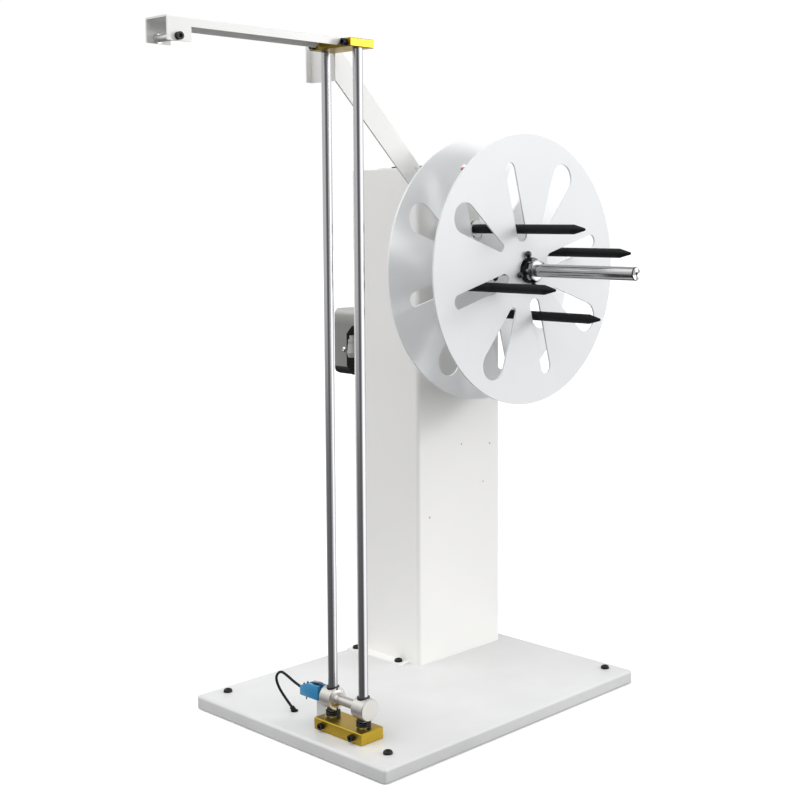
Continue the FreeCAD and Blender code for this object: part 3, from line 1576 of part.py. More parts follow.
pieces = {
    "base_tray": base_tray,
    "base_feet": base_feet,
    "base_screws": base_screws,
    "column_shell": column_shell,
    "column_cover": column_cover,
    "cover_screws": cover_screws,
    "front_bearing_housing": front_bearing_housing,
    "rear_bearing_housing": rear_bearing_housing,
    "housing_screws": housing_screws,
    "spindle_bearings": spindle_bearings,
    "spindle_shaft": spindle_shaft,
    "rear_disc": rear_disc,
    "rear_hub": rear_hub,
    "hub_bolts": hub_bolts,
    "front_disc": front_disc,
    "front_hub": front_hub,
    "screw_collar": screw_collar,
    "ring_nut": ring_nut,
    "driven_pulley": driven_pulley,
    "drive_pulley": drive_pulley,
    "drive_belt": drive_belt,
    "motor_body": motor_body,
    "motor_screws": motor_screws,
    "motor_shaft": motor_shaft,
    "motor_terminal_box": motor_terminal_box,
    "cable_glands": cable_glands,
    "speed_controller": speed_controller,
    "lower_rod_block": lower_rod_block,
    "upper_rod_block": upper_rod_block,
    "rod_clamp_screws": rod_clamp_screws,
    "guide_arm": guide_arm,
    "roller_axle": roller_axle,
    "guide_roller": guide_roller,
    "brace_strut": brace_strut,
    "frame_screws": frame_screws,
    "dancer_bar": dancer_bar,
    "dancer_bushes": dancer_bushes,
    "stop_springs": stop_springs,
    "sensor_bracket": sensor_bracket,
    "sensor_body": sensor_body,
    "sensor_screws": sensor_screws,
    "sensor_lever": sensor_lever,
    "sensor_cable": sensor_cable,
    "cable_grommet": cable_grommet,
    "switch_bezel": switch_bezel,
    "switch_rocker": switch_rocker,
}

def write(shape, name):
    """Writes one piece, moved so that the origin is under the middle of the whole machine."""
    shape.translate(Vector(move_x, move_y, 0))
    shape.exportStep("parts/" + name + ".step")


os.makedirs("parts", exist_ok=True)
for name, make in pieces.items():
    write(make(), name)
for index in range(len(arm_seats)):
    write(winding_arm(index), "winding_arm_" + str(index + 1))
    write(arm_nut(index), "arm_nut_" + str(index + 1))
    write(lock_screw(index), "lock_screw_" + str(index + 1))
for index in range(len(rod_places)):
    write(guide_rod(index), "guide_rod_" + str(index + 1))
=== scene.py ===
import math

import bpy
import bmesh
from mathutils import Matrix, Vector


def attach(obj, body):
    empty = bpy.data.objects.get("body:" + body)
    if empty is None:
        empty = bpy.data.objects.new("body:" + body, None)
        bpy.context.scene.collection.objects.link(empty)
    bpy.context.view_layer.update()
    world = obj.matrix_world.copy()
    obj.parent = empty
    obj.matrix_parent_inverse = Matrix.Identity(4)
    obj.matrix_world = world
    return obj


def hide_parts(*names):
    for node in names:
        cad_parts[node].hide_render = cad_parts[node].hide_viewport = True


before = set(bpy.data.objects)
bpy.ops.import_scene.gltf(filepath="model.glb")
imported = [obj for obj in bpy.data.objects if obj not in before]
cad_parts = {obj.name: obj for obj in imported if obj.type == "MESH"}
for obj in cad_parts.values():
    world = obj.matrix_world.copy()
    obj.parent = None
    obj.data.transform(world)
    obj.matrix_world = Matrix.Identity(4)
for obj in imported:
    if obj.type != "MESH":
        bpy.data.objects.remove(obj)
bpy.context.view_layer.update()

# the frame's X and Y run from the middle of the whole machine, mine from the middle of the base
baseMiddleX = 0.0005
baseMiddleY = 0.06725

# lines that several pieces share, in millimetres
rodsX = (40.4, 97.1)
rodsY = -193.1
spindleLine = (130.5, 586.5)    # Y and Z of the spindle's axis
spindleEnd = 266
dancerLine = (rodsY, 58.5)
rollerLine = (-437.0, 847.5)


def at(x, y, z):
    # a place in millimetres from the middle of the base, on the floor
    return Vector((x / 1000 + baseMiddleX, y / 1000 + baseMiddleY, z / 1000))


# camera, at the photograph's angle

cameraView = {
    "place": at(1306.6, -1280.1, 656.9),
    "tilt": 84.567,
    "turn": 42.671,
    "lens": 61.12,
    "sensor": 36,
    "shiftX": -0.1096,
    "shiftY": -0.0651,
    "reach": 50,
}


def makeCamera():
    data = bpy.data.cameras.new("viewCamera")
    data.lens = cameraView["lens"]
    data.sensor_width = cameraView["sensor"]
    data.shift_x = cameraView["shiftX"]
    data.shift_y = cameraView["shiftY"]
    data.clip_end = cameraView["reach"]
    camera = bpy.data.objects.new("viewCamera", data)
    camera.location = cameraView["place"]
    camera.rotation_euler = (math.radians(cameraView["tilt"]), 0, math.radians(cameraView["turn"]))
    bpy.context.scene.collection.objects.link(camera)
    bpy.context.scene.camera = camera
    print("camera set")


makeCamera()


# sensor cable, from the position switch down into the tray

cable = {
    "points": [
        (-16.0, -198.0, 59.5), (-28.5, -198.2, 62.5), (-43.0, -198.5, 68.2), (-57.5, -198.2, 71.6),
        (-69.5, -197.2, 60.5), (-65.5, -195.2, 46.5), (-55.0, -192.8, 34.0), (-44.8, -190.6, 24.0),
    ],
    "diameter": 0.0035,
    "length": 0.1024,
    "order": 3,
    "steps": 16,
    "roundness": 6,
}


def makeCable():
    data = bpy.data.curves.new("sensorLead", "CURVE")
    data.dimensions = "3D"
    spline = data.splines.new("NURBS")
    spline.points.add(len(cable["points"]) - 1)
    for point, place in zip(spline.points, cable["points"]):
        point.co = (*at(*place), 1)
        point.radius = cable["diameter"] / 2
    spline.order_u = cable["order"]
    spline.use_endpoint_u = True
    spline.resolution_u = cable["steps"]
    data.bevel_depth = 1.0    # the points carry the cable's radius
    data.bevel_resolution = cable["roundness"]
    data.use_fill_caps = True
    lead = bpy.data.objects.new("sensorLead", data)
    bpy.context.scene.collection.objects.link(lead)
    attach(lead, "frame")
    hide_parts("sensor_cable")
    tuple(at(*cable["points"][0]))
    print("cable laid")
    return lead


sensorLead = makeCable()


# finishes

class Link:
    # wraps a socket, so that shader maths reads as plain sums
    def __init__(self, finish, socket):
        self.finish = finish
        self.socket = socket

    def maths(self, operation, first, second):
        return self.finish.node("Math", {"operation": operation}, {0: first, 1: second})

    def __add__(self, other):
        return self.maths("ADD", self, other)

    def __radd__(self, other):
        return self.maths("ADD", other, self)

    def __sub__(self, other):
        return self.maths("SUBTRACT", self, other)

    def __rsub__(self, other):
        return self.maths("SUBTRACT", other, self)

    def __mul__(self, other):
        return self.maths("MULTIPLY", self, other)

    def __rmul__(self, other):
        return self.maths("MULTIPLY", other, self)

    def __pow__(self, other):
        return self.maths("POWER", self, other)

    def above(self, edge, soft):
        # 0 under the edge, 1 from edge + soft on
        sockets = {0: self, 1: edge, 2: edge + soft, 3: 0.0, 4: 1.0}
        return self.finish.node("MapRange", {"clamp": True}, sockets)


class Finish:
    def __init__(self, name):
        self.material = bpy.data.materials.new(name)
        self.material.use_nodes = True
        self.tree = self.material.node_tree
        self.tree.nodes.clear()
        self.coords = self.node("TexCoord", {}, {}, "Object")

    def node(self, kind, settings, sockets, output=0):
        made = self.tree.nodes.new("ShaderNode" + kind)
        for name, value in settings.items():
            setattr(made, name, value)
        for name, value in sockets.items():
            if isinstance(value, Link):
                self.tree.links.new(value.socket, made.inputs[name])
            else:
                made.inputs[name].default_value = value
        return Link(self, made.outputs[output])

    def part(self, index, vector=None):
        return self.node("SeparateXYZ", {}, {0: vector or self.coords}, index)

    def centred(self, place):
        # coordinates measured from a place on the machine
        return self.node("Mapping", {}, {"Vector": self.coords, "Location": tuple(-part for part in place)})

    def distance(self, place):
        return self.node("VectorMath", {"operation": "DISTANCE"}, {0: self.coords, 1: tuple(place)}, "Value")

    def noise(self, scale, detail, rough=0.5, stretch=(1, 1, 1)):
        place = self.node("Mapping", {}, {"Vector": self.coords, "Scale": stretch})
        sockets = {"Vector": place, "Scale": scale, "Detail": detail, "Roughness": rough}
        return self.node("TexNoise", {}, sockets)

    def mix(self, share, first, second):
        return self.node("Mix", {"data_type": "RGBA"}, {0: share, 6: first, 7: second}, 2)

    def bump(self, height, strength, distance):
        return self.node("Bump", {}, {"Height": height, "Strength": strength, "Distance": distance})

    def surface(self, **sockets):
        named = {name.replace("_", " "): value for name, value in sockets.items()}
        shader = self.node("BsdfPrincipled", {}, named)
        output = self.tree.nodes.new("ShaderNodeOutputMaterial")
        self.tree.links.new(shader.socket, output.inputs[0])
        return self.material


def colour(red, green, blue):
    return (red, green, blue, 1.0)


def shade(base, factor):
    return colour(*(part * factor for part in base[:3]))


# In the dictionaries of the finishes, an Edge is where a pattern starts and how softly, a Share is how much
# of it shows, a Shade is its tone against the base colour, and a Rough is what it adds to the roughness.

powder = {
    "cloud": {"scale": 7.0, "detail": 3.0, "rough": 0.55},
    "cloudEdge": (0.35, 0.35), "cloudShare": 0.5, "cloudShade": 0.965, "cloudRough": 0.08,
    "marks": {"scale": 55.0, "detail": 5.0, "rough": 0.65, "stretch": (1.0, 1.0, 0.25)},
    "marksEdge": (0.66, 0.12), "marksShare": 0.22, "marksShade": 0.86, "marksRough": 0.12,
    "peel": {"scale": 620.0, "detail": 2.0},
    "grain": {"scale": 2600.0, "detail": 1.0, "rough": 0.4}, "grainHeight": 0.2,
    # painted shade along the foot of the coat
    "footShadeHeight": 0.03, "footShadeEdge": (0.3, 0.4), "footShadeTone": 0.6,
    "nickShade": 0.16, "nickRag": 0.5,
    "rough": 0.34, "specular": 0.5, "bump": 0.12, "bumpDepth": 0.0004,
}


def powderCoat(name, base, footShade=0.0, nicks=()):
    # satin powder coat: orange peel, cloudy tone, light handling marks, small nicks down to the primer
    finish = Finish(name)
    cloud = finish.noise(**powder["cloud"])
    marks = finish.noise(**powder["marks"]).above(*powder["marksEdge"])
    peel = finish.noise(**powder["peel"])
    grain = finish.noise(**powder["grain"])
    faint = cloud.above(*powder["cloudEdge"]) * powder["cloudShare"]
    tone = finish.mix(faint, base, shade(base, powder["cloudShade"]))
    tone = finish.mix(marks * powder["marksShare"], tone, shade(base, powder["marksShade"]))
    # painted shade: cloudy patches in the coat's lowest 30 mm are darker, standing for the shade at the
    # skirt's foot
    if footShade:
        low = 1.0 - finish.part(2).above(0.0, powder["footShadeHeight"])
        footShading = low * cloud.above(*powder["footShadeEdge"]) * footShade
        tone = finish.mix(footShading, tone, shade(base, powder["footShadeTone"]))
    for place, radius in nicks:
        away = finish.distance(place) + grain * radius * powder["nickRag"]
        bare = 1.0 - away.above(radius, radius * powder["nickRag"])
        tone = finish.mix(bare, tone, shade(base, powder["nickShade"]))
    rough = powder["rough"] + cloud * powder["cloudRough"] + marks * powder["marksRough"]
    skin = finish.bump(peel + grain * powder["grainHeight"], powder["bump"], powder["bumpDepth"])
    return finish.surface(Base_Color=tone, Roughness=rough, Normal=skin,
                          Specular_IOR_Level=powder["specular"])


ground = {
    "ring": {"scale": 3.0, "detail": 2.0, "rough": 0.6}, "ringAcross": 6.0, "ringAlong": 900.0,
    "ringShare": 0.35, "ringRough": 0.05,
    "streak": {"scale": 4.0, "detail": 3.0, "rough": 0.6}, "streakAcross": 160.0, "streakAlong": 1.5,
    "streakShare": 0.3, "streakHeight": 0.5,
    "spots": {"scale": 90.0, "detail": 4.0, "rough": 0.7},
    "spotsEdge": (0.68, 0.1), "spotsShare": 0.35, "spotsShade": 0.55, "spotsRough": 0.12,
    "lightShade": 1.08, "darkShade": 0.82, "bump": 0.08, "bumpDepth": 0.0001,
}


def stretched(axis, across, along):
    return tuple(along if index == axis else across for index in range(3))


def groundBar(name, base, axis, rough=0.1, face=None):
    # centreless ground bar: fine rings round the axis and faint long streaks; the spindle has a turned face
    finish = Finish(name)
    ring = finish.noise(**ground["ring"], stretch=stretched(axis, ground["ringAcross"], ground["ringAlong"]))
    streak = finish.noise(**ground["streak"],
                          stretch=stretched(axis, ground["streakAcross"], ground["streakAlong"]))
    spots = finish.noise(**ground["spots"]).above(*ground["spotsEdge"])
    worked = ring * ground["ringShare"] + streak * ground["streakShare"]
    tone = finish.mix(worked, shade(base, ground["lightShade"]), shade(base, ground["darkShade"]))
    tone = finish.mix(spots * ground["spotsShare"], tone, shade(base, ground["spotsShade"]))
    if face is not None:
        # the spindle's end face gets a painted sheen and a painted dark reflection at its chamfer
        tone = facedEnd(finish, tone, base, face)
    skin = finish.bump(ring + streak * ground["streakHeight"], ground["bump"], ground["bumpDepth"])
    return finish.surface(Base_Color=tone, Metallic=1.0, Normal=skin,
                          Roughness=rough + ring * ground["ringRough"] + spots * ground["spotsRough"])


endFace = {
    "sheenRays": 3.0, "ragged": {"scale": 130.0, "detail": 2.0}, "rag": 5.0, "sheenEdge": (-0.2, 0.5),
    "sheenDark": 0.5, "sheenBright": 1.75,
    "rimEdge": (-0.0016, 0.0004), "rimReflectionShade": 0.12, "faceEdge": (-0.0002, 0.0001),
}


def facedEnd(finish, tone, base, middle):
    # the spindle's end: a painted dark reflection at its chamfer, then a painted sheen of bright and grey
    # rays round the centre
    place = finish.centred(middle)
    along, across, up = [finish.part(index, place) for index in range(3)]
    turn = finish.node("Math", {"operation": "ARCTAN2"}, {0: up, 1: across})
    bent = turn * endFace["sheenRays"] + finish.noise(**endFace["ragged"]) * endFace["rag"]
    wave = finish.node("Math", {"operation": "SINE"}, {0: bent}).above(*endFace["sheenEdge"])
    # painted sheen: bright and grey rays stand for the light the turned face throws back
    sheenRays = finish.mix(wave, shade(base, endFace["sheenDark"]), shade(base, endFace["sheenBright"]))
    # painted reflection: the chamfer's rim is painted dark
    tone = finish.mix(along.above(*endFace["rimEdge"]), tone, shade(base, endFace["rimReflectionShade"]))
    return finish.mix(along.above(*endFace["faceEdge"]), tone, sheenRays)


lathe = {
    "fineness": 1000.0, "marks": {"Scale": 4.0, "Detail": 3.0, "Roughness": 0.7},
    "marksShare": 0.7, "marksRough": 0.12, "lightShade": 1.1, "darkShade": 0.84,
    "cloud": {"scale": 60.0, "detail": 3.0, "rough": 0.6},
    "cloudEdge": (0.6, 0.2), "cloudShare": 0.3, "cloudShade": 0.75, "cloudRough": 0.06,
    "bump": 0.1, "bumpDepth": 0.0002,
}


def turnedMetal(name, base, middle, rough=0.3):
    # lathe marks: rings by the distance from the axis, which lies along X, and by the place along it
    finish = Finish(name)
    place = finish.centred(middle)
    along, across, up = [finish.part(index, place) for index in range(3)]
    radius = (across * across + up * up) ** 0.5
    sockets = {0: radius * lathe["fineness"], 1: along * lathe["fineness"], 2: 0.0}
    line = finish.node("CombineXYZ", {}, sockets)
    marks = finish.node("TexNoise", {}, {"Vector": line, **lathe["marks"]})
    cloud = finish.noise(**lathe["cloud"])
    tone = finish.mix(marks * lathe["marksShare"],
                      shade(base, lathe["lightShade"]), shade(base, lathe["darkShade"]))
    stain = cloud.above(*lathe["cloudEdge"]) * lathe["cloudShare"]
    tone = finish.mix(stain, tone, shade(base, lathe["cloudShade"]))
    return finish.surface(Base_Color=tone, Metallic=1.0,
                          Roughness=rough + marks * lathe["marksRough"] + cloud * lathe["cloudRough"],
                          Normal=finish.bump(marks, lathe["bump"], lathe["bumpDepth"]))


milled = {
    "lines": {"scale": 9.0, "detail": 2.0, "rough": 0.6, "stretch": (12.0, 260.0, 260.0)},
    "linesShare": 0.6, "linesRough": 0.1, "lightShade": 1.1, "darkShade": 0.85,
    "cloud": {"scale": 35.0, "detail": 4.0, "rough": 0.6},
    "cloudEdge": (0.62, 0.15), "cloudShare": 0.35, "cloudShade": 0.65, "cloudRough": 0.08,
    "rough": 0.3, "bump": 0.1, "bumpDepth": 0.0002,
}


def anodised(name, base):
    # milled and anodised block: fine cutter lines, a little rubbed
    finish = Finish(name)
    lines = finish.noise(**milled["lines"])
    cloud = finish.noise(**milled["cloud"])
    tone = finish.mix(lines * milled["linesShare"],
                      shade(base, milled["lightShade"]), shade(base, milled["darkShade"]))
    rubbed = cloud.above(*milled["cloudEdge"]) * milled["cloudShare"]
    tone = finish.mix(rubbed, tone, shade(base, milled["cloudShade"]))
    rough = milled["rough"] + lines * milled["linesRough"] + cloud * milled["cloudRough"]
    return finish.surface(Base_Color=tone, Metallic=1.0, Roughness=rough,
                          Normal=finish.bump(lines, milled["bump"], milled["bumpDepth"]))


oiled = {
    "rubbed": (0.075, 0.072, 0.07), "cloud": {"scale": 180.0, "detail": 4.0, "rough": 0.6},
    "cloudEdge": (0.55, 0.25), "cloudShare": 0.25, "cloudRough": 0.18,
    "fine": {"scale": 1500.0, "detail": 2.0},
    "metallic": 0.55, "rough": 0.38, "bump": 0.12, "bumpDepth": 0.0002,
}


def blackOxide(name, base):
    # oiled black steel, a little brighter where it is rubbed
    finish = Finish(name)
    cloud = finish.noise(**oiled["cloud"])
    fine = finish.noise(**oiled["fine"])
    tone = finish.mix(cloud.above(*oiled["cloudEdge"]) * oiled["cloudShare"], base, colour(*oiled["rubbed"]))
    return finish.surface(Base_Color=tone, Metallic=oiled["metallic"],
                          Roughness=oiled["rough"] + cloud * oiled["cloudRough"],
                          Normal=finish.bump(fine + cloud, oiled["bump"], oiled["bumpDepth"]))


matt = {
    "rubbed": (0.022, 0.023, 0.026),
    "rub": {"scale": 70.0, "detail": 4.0, "rough": 0.62, "stretch": (0.35, 1.0, 1.0)},
    "rubEdge": (0.6, 0.16), "rubShare": 0.4, "rubPolish": 0.1,
    "grain": {"scale": 2200.0, "detail": 2.0}, "grainRough": 0.06,
    "rough": 0.5, "specular": 0.18, "bump": 0.25, "bumpDepth": 0.0002,
}


def mattCoat(name, base):
    # matt coating with a fine grain and rubbed patches
    finish = Finish(name)
    grain = finish.noise(**matt["grain"])
    rub = finish.noise(**matt["rub"]).above(*matt["rubEdge"])
    tone = finish.mix(rub * matt["rubShare"], base, colour(*matt["rubbed"]))
    return finish.surface(Base_Color=tone, Specular_IOR_Level=matt["specular"],
                          Roughness=matt["rough"] - rub * matt["rubPolish"] + grain * matt["grainRough"],
                          Normal=finish.bump(grain, matt["bump"], matt["bumpDepth"]))


mould = {
    "grain": {"scale": 1800.0, "detail": 2.0, "rough": 0.55},
    "flow": {"scale": 40.0, "detail": 3.0, "rough": 0.6},
    "flowEdge": (0.5, 0.3), "flowShare": 0.4, "flowShade": 1.25, "flowLift": 0.004, "flowRough": 0.1,
    "bump": 0.15, "bumpDepth": 0.0002,
}


def moulded(name, base, rough=0.42, gloss=0.0, shine=0.5):
    # moulded plastic: fine spark texture, faint flow marks
    finish = Finish(name)
    grain = finish.noise(**mould["grain"])
    flow = finish.noise(**mould["flow"])
    pale = colour(*(part * mould["flowShade"] + mould["flowLift"] for part in base[:3]))
    tone = finish.mix(flow.above(*mould["flowEdge"]) * mould["flowShare"], base, pale)
    return finish.surface(Base_Color=tone, Roughness=rough + flow * mould["flowRough"], Coat_Weight=gloss,
                          Specular_IOR_Level=shine,
                          Normal=finish.bump(grain, mould["bump"], mould["bumpDepth"]))


casting = {
    "sand": {"scale": 420.0, "detail": 4.0, "rough": 0.65}, "sandRough": 0.12,
    "cloud": {"scale": 45.0, "detail": 3.0, "rough": 0.6}, "cloudShare": 0.6,
    "lightShade": 1.1, "darkShade": 0.8,
    # the casting's top is painted lighter: a painted highlight
    "highlightRise": 0.071, "highlightSoft": 0.022, "highlightRag": 0.012, "highlightShade": 1.75,
    "dipSoft": 0.0005, "dipRag": 0.0006, "dipShade": 0.055,
    "bump": 0.3, "bumpDepth": 0.0005,
}


def castMetal(name, base, rough, metallic, dipped=None):
    # painted casting: sandy skin with soft dark hollows, black below the dipped height, a painted highlight
    # along its top
    finish = Finish(name)
    sand = finish.noise(**casting["sand"])
    cloud = finish.noise(**casting["cloud"])
    tone = finish.mix(cloud * casting["cloudShare"],
                      shade(base, casting["lightShade"]), shade(base, casting["darkShade"]))
    if dipped is not None:
        up = finish.part(2)
        # painted highlight: the top of the casting is painted lighter, where light falls on it
        paintedHighlight = (up + cloud * casting["highlightRag"]).above(dipped + casting["highlightRise"], casting["highlightSoft"])
        tone = finish.mix(paintedHighlight, tone, shade(base, casting["highlightShade"]))
        below = 1.0 - (up + cloud * casting["dipRag"]).above(dipped, casting["dipSoft"])
        tone = finish.mix(below, tone, shade(base, casting["dipShade"]))
    return finish.surface(Base_Color=tone, Metallic=metallic, Roughness=rough + sand * casting["sandRough"],
                          Normal=finish.bump(sand, casting["bump"], casting["bumpDepth"]))


spindleMiddle = at(0, *spindleLine)
spindleFace = at(spindleEnd, *spindleLine)
motorBand = 0.4335    # the motor is black below this height
columnNicks = [
    (at(-48, 132.8, 330.3), 0.0011), (at(-48, 193.5, 324.1), 0.0012), (at(-48, 179.1, 268.6), 0.001),
    (at(-48, 67.3, 231.9), 0.0013),
]
finishes = {
    "white": powderCoat("whitePaint", colour(0.83, 0.83, 0.815)),
    "columnWhite": powderCoat("columnPaint", colour(0.835, 0.83, 0.812), nicks=columnNicks),
    # painted light: the front disc's white is set darker than the white paint, to hold back the light it gets
    "discWhiteDarkenedForLight": powderCoat("discPaintDarkenedForLight", colour(0.765, 0.78, 0.79)),
    # painted light: the rear disc's white is set lighter than the white paint, against the shade of the front
    # disc
    "rearDiscWhiteLightenedForShade": powderCoat("rearDiscPaintLightenedForShade", colour(0.885, 0.9, 0.91)),
    # painted light: the tray's white is set darker than the white paint, against the light from above, and
    # its foot gets painted shade
    "trayWhiteDarkenedForLight": powderCoat("trayPaintDarkenedForLight", colour(0.675, 0.68, 0.678), footShade=0.5),
    "oxide": blackOxide("blackOxide", colour(0.012, 0.012, 0.013)),
    "armCoat": mattCoat("armCoating", colour(0.006, 0.0065, 0.0075)),
    "rodSteel": groundBar("groundRod", colour(0.49, 0.49, 0.505), 2),
    "shaftSteel": groundBar("groundSpindle", colour(0.4, 0.4, 0.41), 0, 0.12, spindleFace),
    "gold": anodised("goldAnodised", colour(0.42, 0.285, 0.03)),
    "turned": turnedMetal("turnedAluminium", colour(0.51, 0.496, 0.474), at(0, *dancerLine), 0.36),
    "hubMetal": turnedMetal("turnedHub", colour(0.76, 0.76, 0.77), spindleMiddle),
    "rollerMetal": turnedMetal("turnedRoller", colour(0.76, 0.76, 0.77), at(0, *rollerLine)),
    "pulleyMetal": turnedMetal("turnedPulley", colour(0.7, 0.7, 0.71), spindleMiddle, 0.36),
    "nutMetal": turnedMetal("turnedSteel", colour(0.3, 0.3, 0.31), spindleMiddle, 0.1),
    "ringSteel": turnedMetal("bearingSteel", colour(0.72, 0.72, 0.73), spindleMiddle, 0.16),
    "sheetSteel": groundBar("bracketSteel", colour(0.6, 0.6, 0.6), 0, 0.32),
    "leafBronze": groundBar("leafBronze", colour(0.21, 0.14, 0.12), 0, 0.3),
    "zinc": groundBar("zincPlate", colour(0.75, 0.75, 0.74), 1, 0.16),
    "motorMetal": castMetal("motorCasting", colour(0.26, 0.262, 0.25), 0.5, 0.35, motorBand),
    "elbowMetal": castMetal("elbowCasting", colour(0.4, 0.405, 0.39), 0.42, 0.5),
    "housingMetal": castMetal("housingCasting", colour(0.02, 0.02, 0.021), 0.42, 0.2),
    "caseMetal": castMetal("controllerCase", colour(0.12, 0.125, 0.13), 0.4, 0.7),
    "blackPlastic": moulded("blackMoulding", colour(0.012, 0.012, 0.013)),
    "bluePlastic": moulded("blueMoulding", colour(0.024, 0.225, 0.45), rough=0.32, gloss=0.3),
    "knobPlastic": moulded("knobMoulding", colour(0.006, 0.006, 0.0065), rough=0.24, gloss=0.4),
    "redPlastic": moulded("redMoulding", colour(0.5, 0.012, 0.01), rough=0.3, gloss=0.3),
    "boxPlastic": moulded("boxMoulding", colour(0.004, 0.004, 0.0042), rough=0.5, shine=0.12),
    "rubber": moulded("blackRubber", colour(0.005, 0.005, 0.0052), rough=0.6, shine=0.2),
    "cableSkin": moulded("cableSheath", colour(0.003, 0.003, 0.0032), rough=0.36, shine=0.22),
}
print("finishes made:", len(finishes))

nodeFinish = {
    "white": ["guide_arm", "brace_strut"],
    "columnWhite": ["column_shell", "column_cover"],
    "discWhiteDarkenedForLight": ["front_disc"],
    "rearDiscWhiteLightenedForShade": ["rear_disc"],
    "trayWhiteDarkenedForLight": ["base_tray"],
    "oxide": ["cover_screws", "housing_screws", "hub_bolts", "rod_clamp_screws", "roller_axle",
              "frame_screws", "sensor_screws"],
    "zinc": ["motor_screws", "arm_nut_1", "arm_nut_2", "arm_nut_3", "arm_nut_4"],
    "armCoat": ["winding_arm_1", "winding_arm_2", "winding_arm_3", "winding_arm_4", "screw_collar"],
    "rodSteel": ["guide_rod_1", "guide_rod_2"],
    "shaftSteel": ["spindle_shaft", "motor_shaft"],
    "gold": ["lower_rod_block", "upper_rod_block"],
    "turned": ["dancer_bar"],
    "hubMetal": ["front_hub", "rear_hub"],
    "rollerMetal": ["guide_roller"],
    "pulleyMetal": ["driven_pulley", "drive_pulley"],
    "nutMetal": ["ring_nut"],
    "ringSteel": ["spindle_bearings"],
    "sheetSteel": ["sensor_bracket"],
    "leafBronze": ["sensor_lever"],
    "motorMetal": ["motor_body"],
    "elbowMetal": ["cable_glands"],
    "housingMetal": ["front_bearing_housing", "rear_bearing_housing"],
    "caseMetal": ["speed_controller"],
    "blackPlastic": ["dancer_bushes", "switch_bezel"],
    "redPlastic": ["switch_rocker"],
    "boxPlastic": ["motor_terminal_box"],
    "rubber": ["base_feet", "drive_belt", "cable_grommet"],
}


def dressed(piece, finishName):
    piece.data.materials.clear()
    piece.data.materials.append(finishes[finishName])
    return piece


def dressNodes():
    for finishName, nodes in nodeFinish.items():
        for node in nodes:
            dressed(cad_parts[node], finishName)
    dressed(sensorLead, "cableSkin")
    print("nodes dressed")


dressNodes()


# modelling helpers

shaping = {
    "bevelAngle": 40.0,     # corners sharper than this are softened
    "steepAngle": 50.0,     # the same, on the knobs and the domed screws
    "smoothAngle": 35.0,    # corners flatter than this are shaded smooth
    "straight": 0.999,      # how squarely a face has to point up or down
    "samePlace": 0.00001,   # points nearer than this to a height or a plane are on it
}


def deselectAll():
    if bpy.context.object and bpy.context.object.mode != "OBJECT":
        bpy.ops.object.mode_set(mode="OBJECT")
    bpy.ops.object.select_all(action="DESELECT")


def chosen(piece):
    deselectAll()
    piece.select_set(True)
    bpy.context.view_layer.objects.active = piece


def started(name):
    # names the primitive that was just added, and keeps its place in its mesh
    piece = bpy.context.object
    piece.name = name
    bpy.ops.object.transform_apply(location=True, rotation=True, scale=True)
    return piece


def placed(piece, place, turn=(0, 0, 0)):
    # moves a finished piece to its place, and keeps the place in its mesh
    chosen(piece)
    piece.location = place
    piece.rotation_euler = turn
    bpy.ops.object.transform_apply(location=True, rotation=True, scale=True)
    return piece


def boxBetween(name, low, high):
    deselectAll()
    bpy.ops.mesh.primitive_cube_add(size=1, location=(at(*low) + at(*high)) / 2,
                                    scale=tuple(at(*high) - at(*low)))
    return started(name)


def rodBetween(name, start, end, radius, sides=24):
    deselectAll()
    reach = end - start
    bpy.ops.mesh.primitive_cylinder_add(vertices=sides, radius=radius, depth=reach.length,
                                        location=(start + end) / 2,
                                        rotation=reach.to_track_quat("Z", "Y").to_euler())
    return started(name)


def pick(test, kind="FACE"):
    # selects what passes the test, in edit mode
    bpy.ops.mesh.select_mode(type=kind)
    bpy.ops.mesh.select_all(action="DESELECT")
    shape = bmesh.from_edit_mesh(bpy.context.object.data)
    for item in {"FACE": shape.faces, "EDGE": shape.edges}[kind]:
        if test(item):
            item.select_set(True)
    bmesh.update_edit_mesh(bpy.context.object.data)


def extruded(drop):
    bpy.ops.mesh.extrude_region_move(TRANSFORM_OT_translate={"value": (0, 0, -drop)})


def applyAll(piece):
    chosen(piece)
    for modifier in list(piece.modifiers):
        bpy.ops.object.modifier_apply(modifier=modifier.name)


def soften(piece, width, segments=2, angle=shaping["bevelAngle"]):
    bevel = piece.modifiers.new("softEdges", "BEVEL")
    bevel.width = width
    bevel.segments = segments
    bevel.limit_method = "ANGLE"
    bevel.angle_limit = math.radians(angle)
    bevel.harden_normals = False
    applyAll(piece)
    bpy.ops.object.shade_smooth_by_angle(angle=math.radians(shaping["smoothAngle"]))


def cutAway(piece, cutter):
    # takes the cutter's volume out of the piece
    cut = piece.modifiers.new("cut", "BOOLEAN")
    cut.object = cutter
    cut.solver = "EXACT"
    applyAll(piece)
    bpy.data.objects.remove(cutter, do_unlink=True)


def copied(piece, name):
    twin = piece.copy()
    twin.data = piece.data.copy()
    twin.name = name
    bpy.context.scene.collection.objects.link(twin)
    return twin


def joined(pieces, name):
    chosen(pieces[0])
    for piece in pieces:
        piece.select_set(True)
    bpy.ops.object.join()
    pieces[0].name = name
    return pieces[0]


def fitted(piece, body, nodes):
    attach(piece, body)
    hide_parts(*nodes)


# stop springs on the lower block

spring = {
    "wireRadius": 0.0011, "wireSides": 14, "radius": 0.0083, "turns": 2.75, "height": 0.0096,
    "seat": 34.05, "ground": 0.00035, "stepsPerTurn": 30, "smoothAngle": 40.0,
}


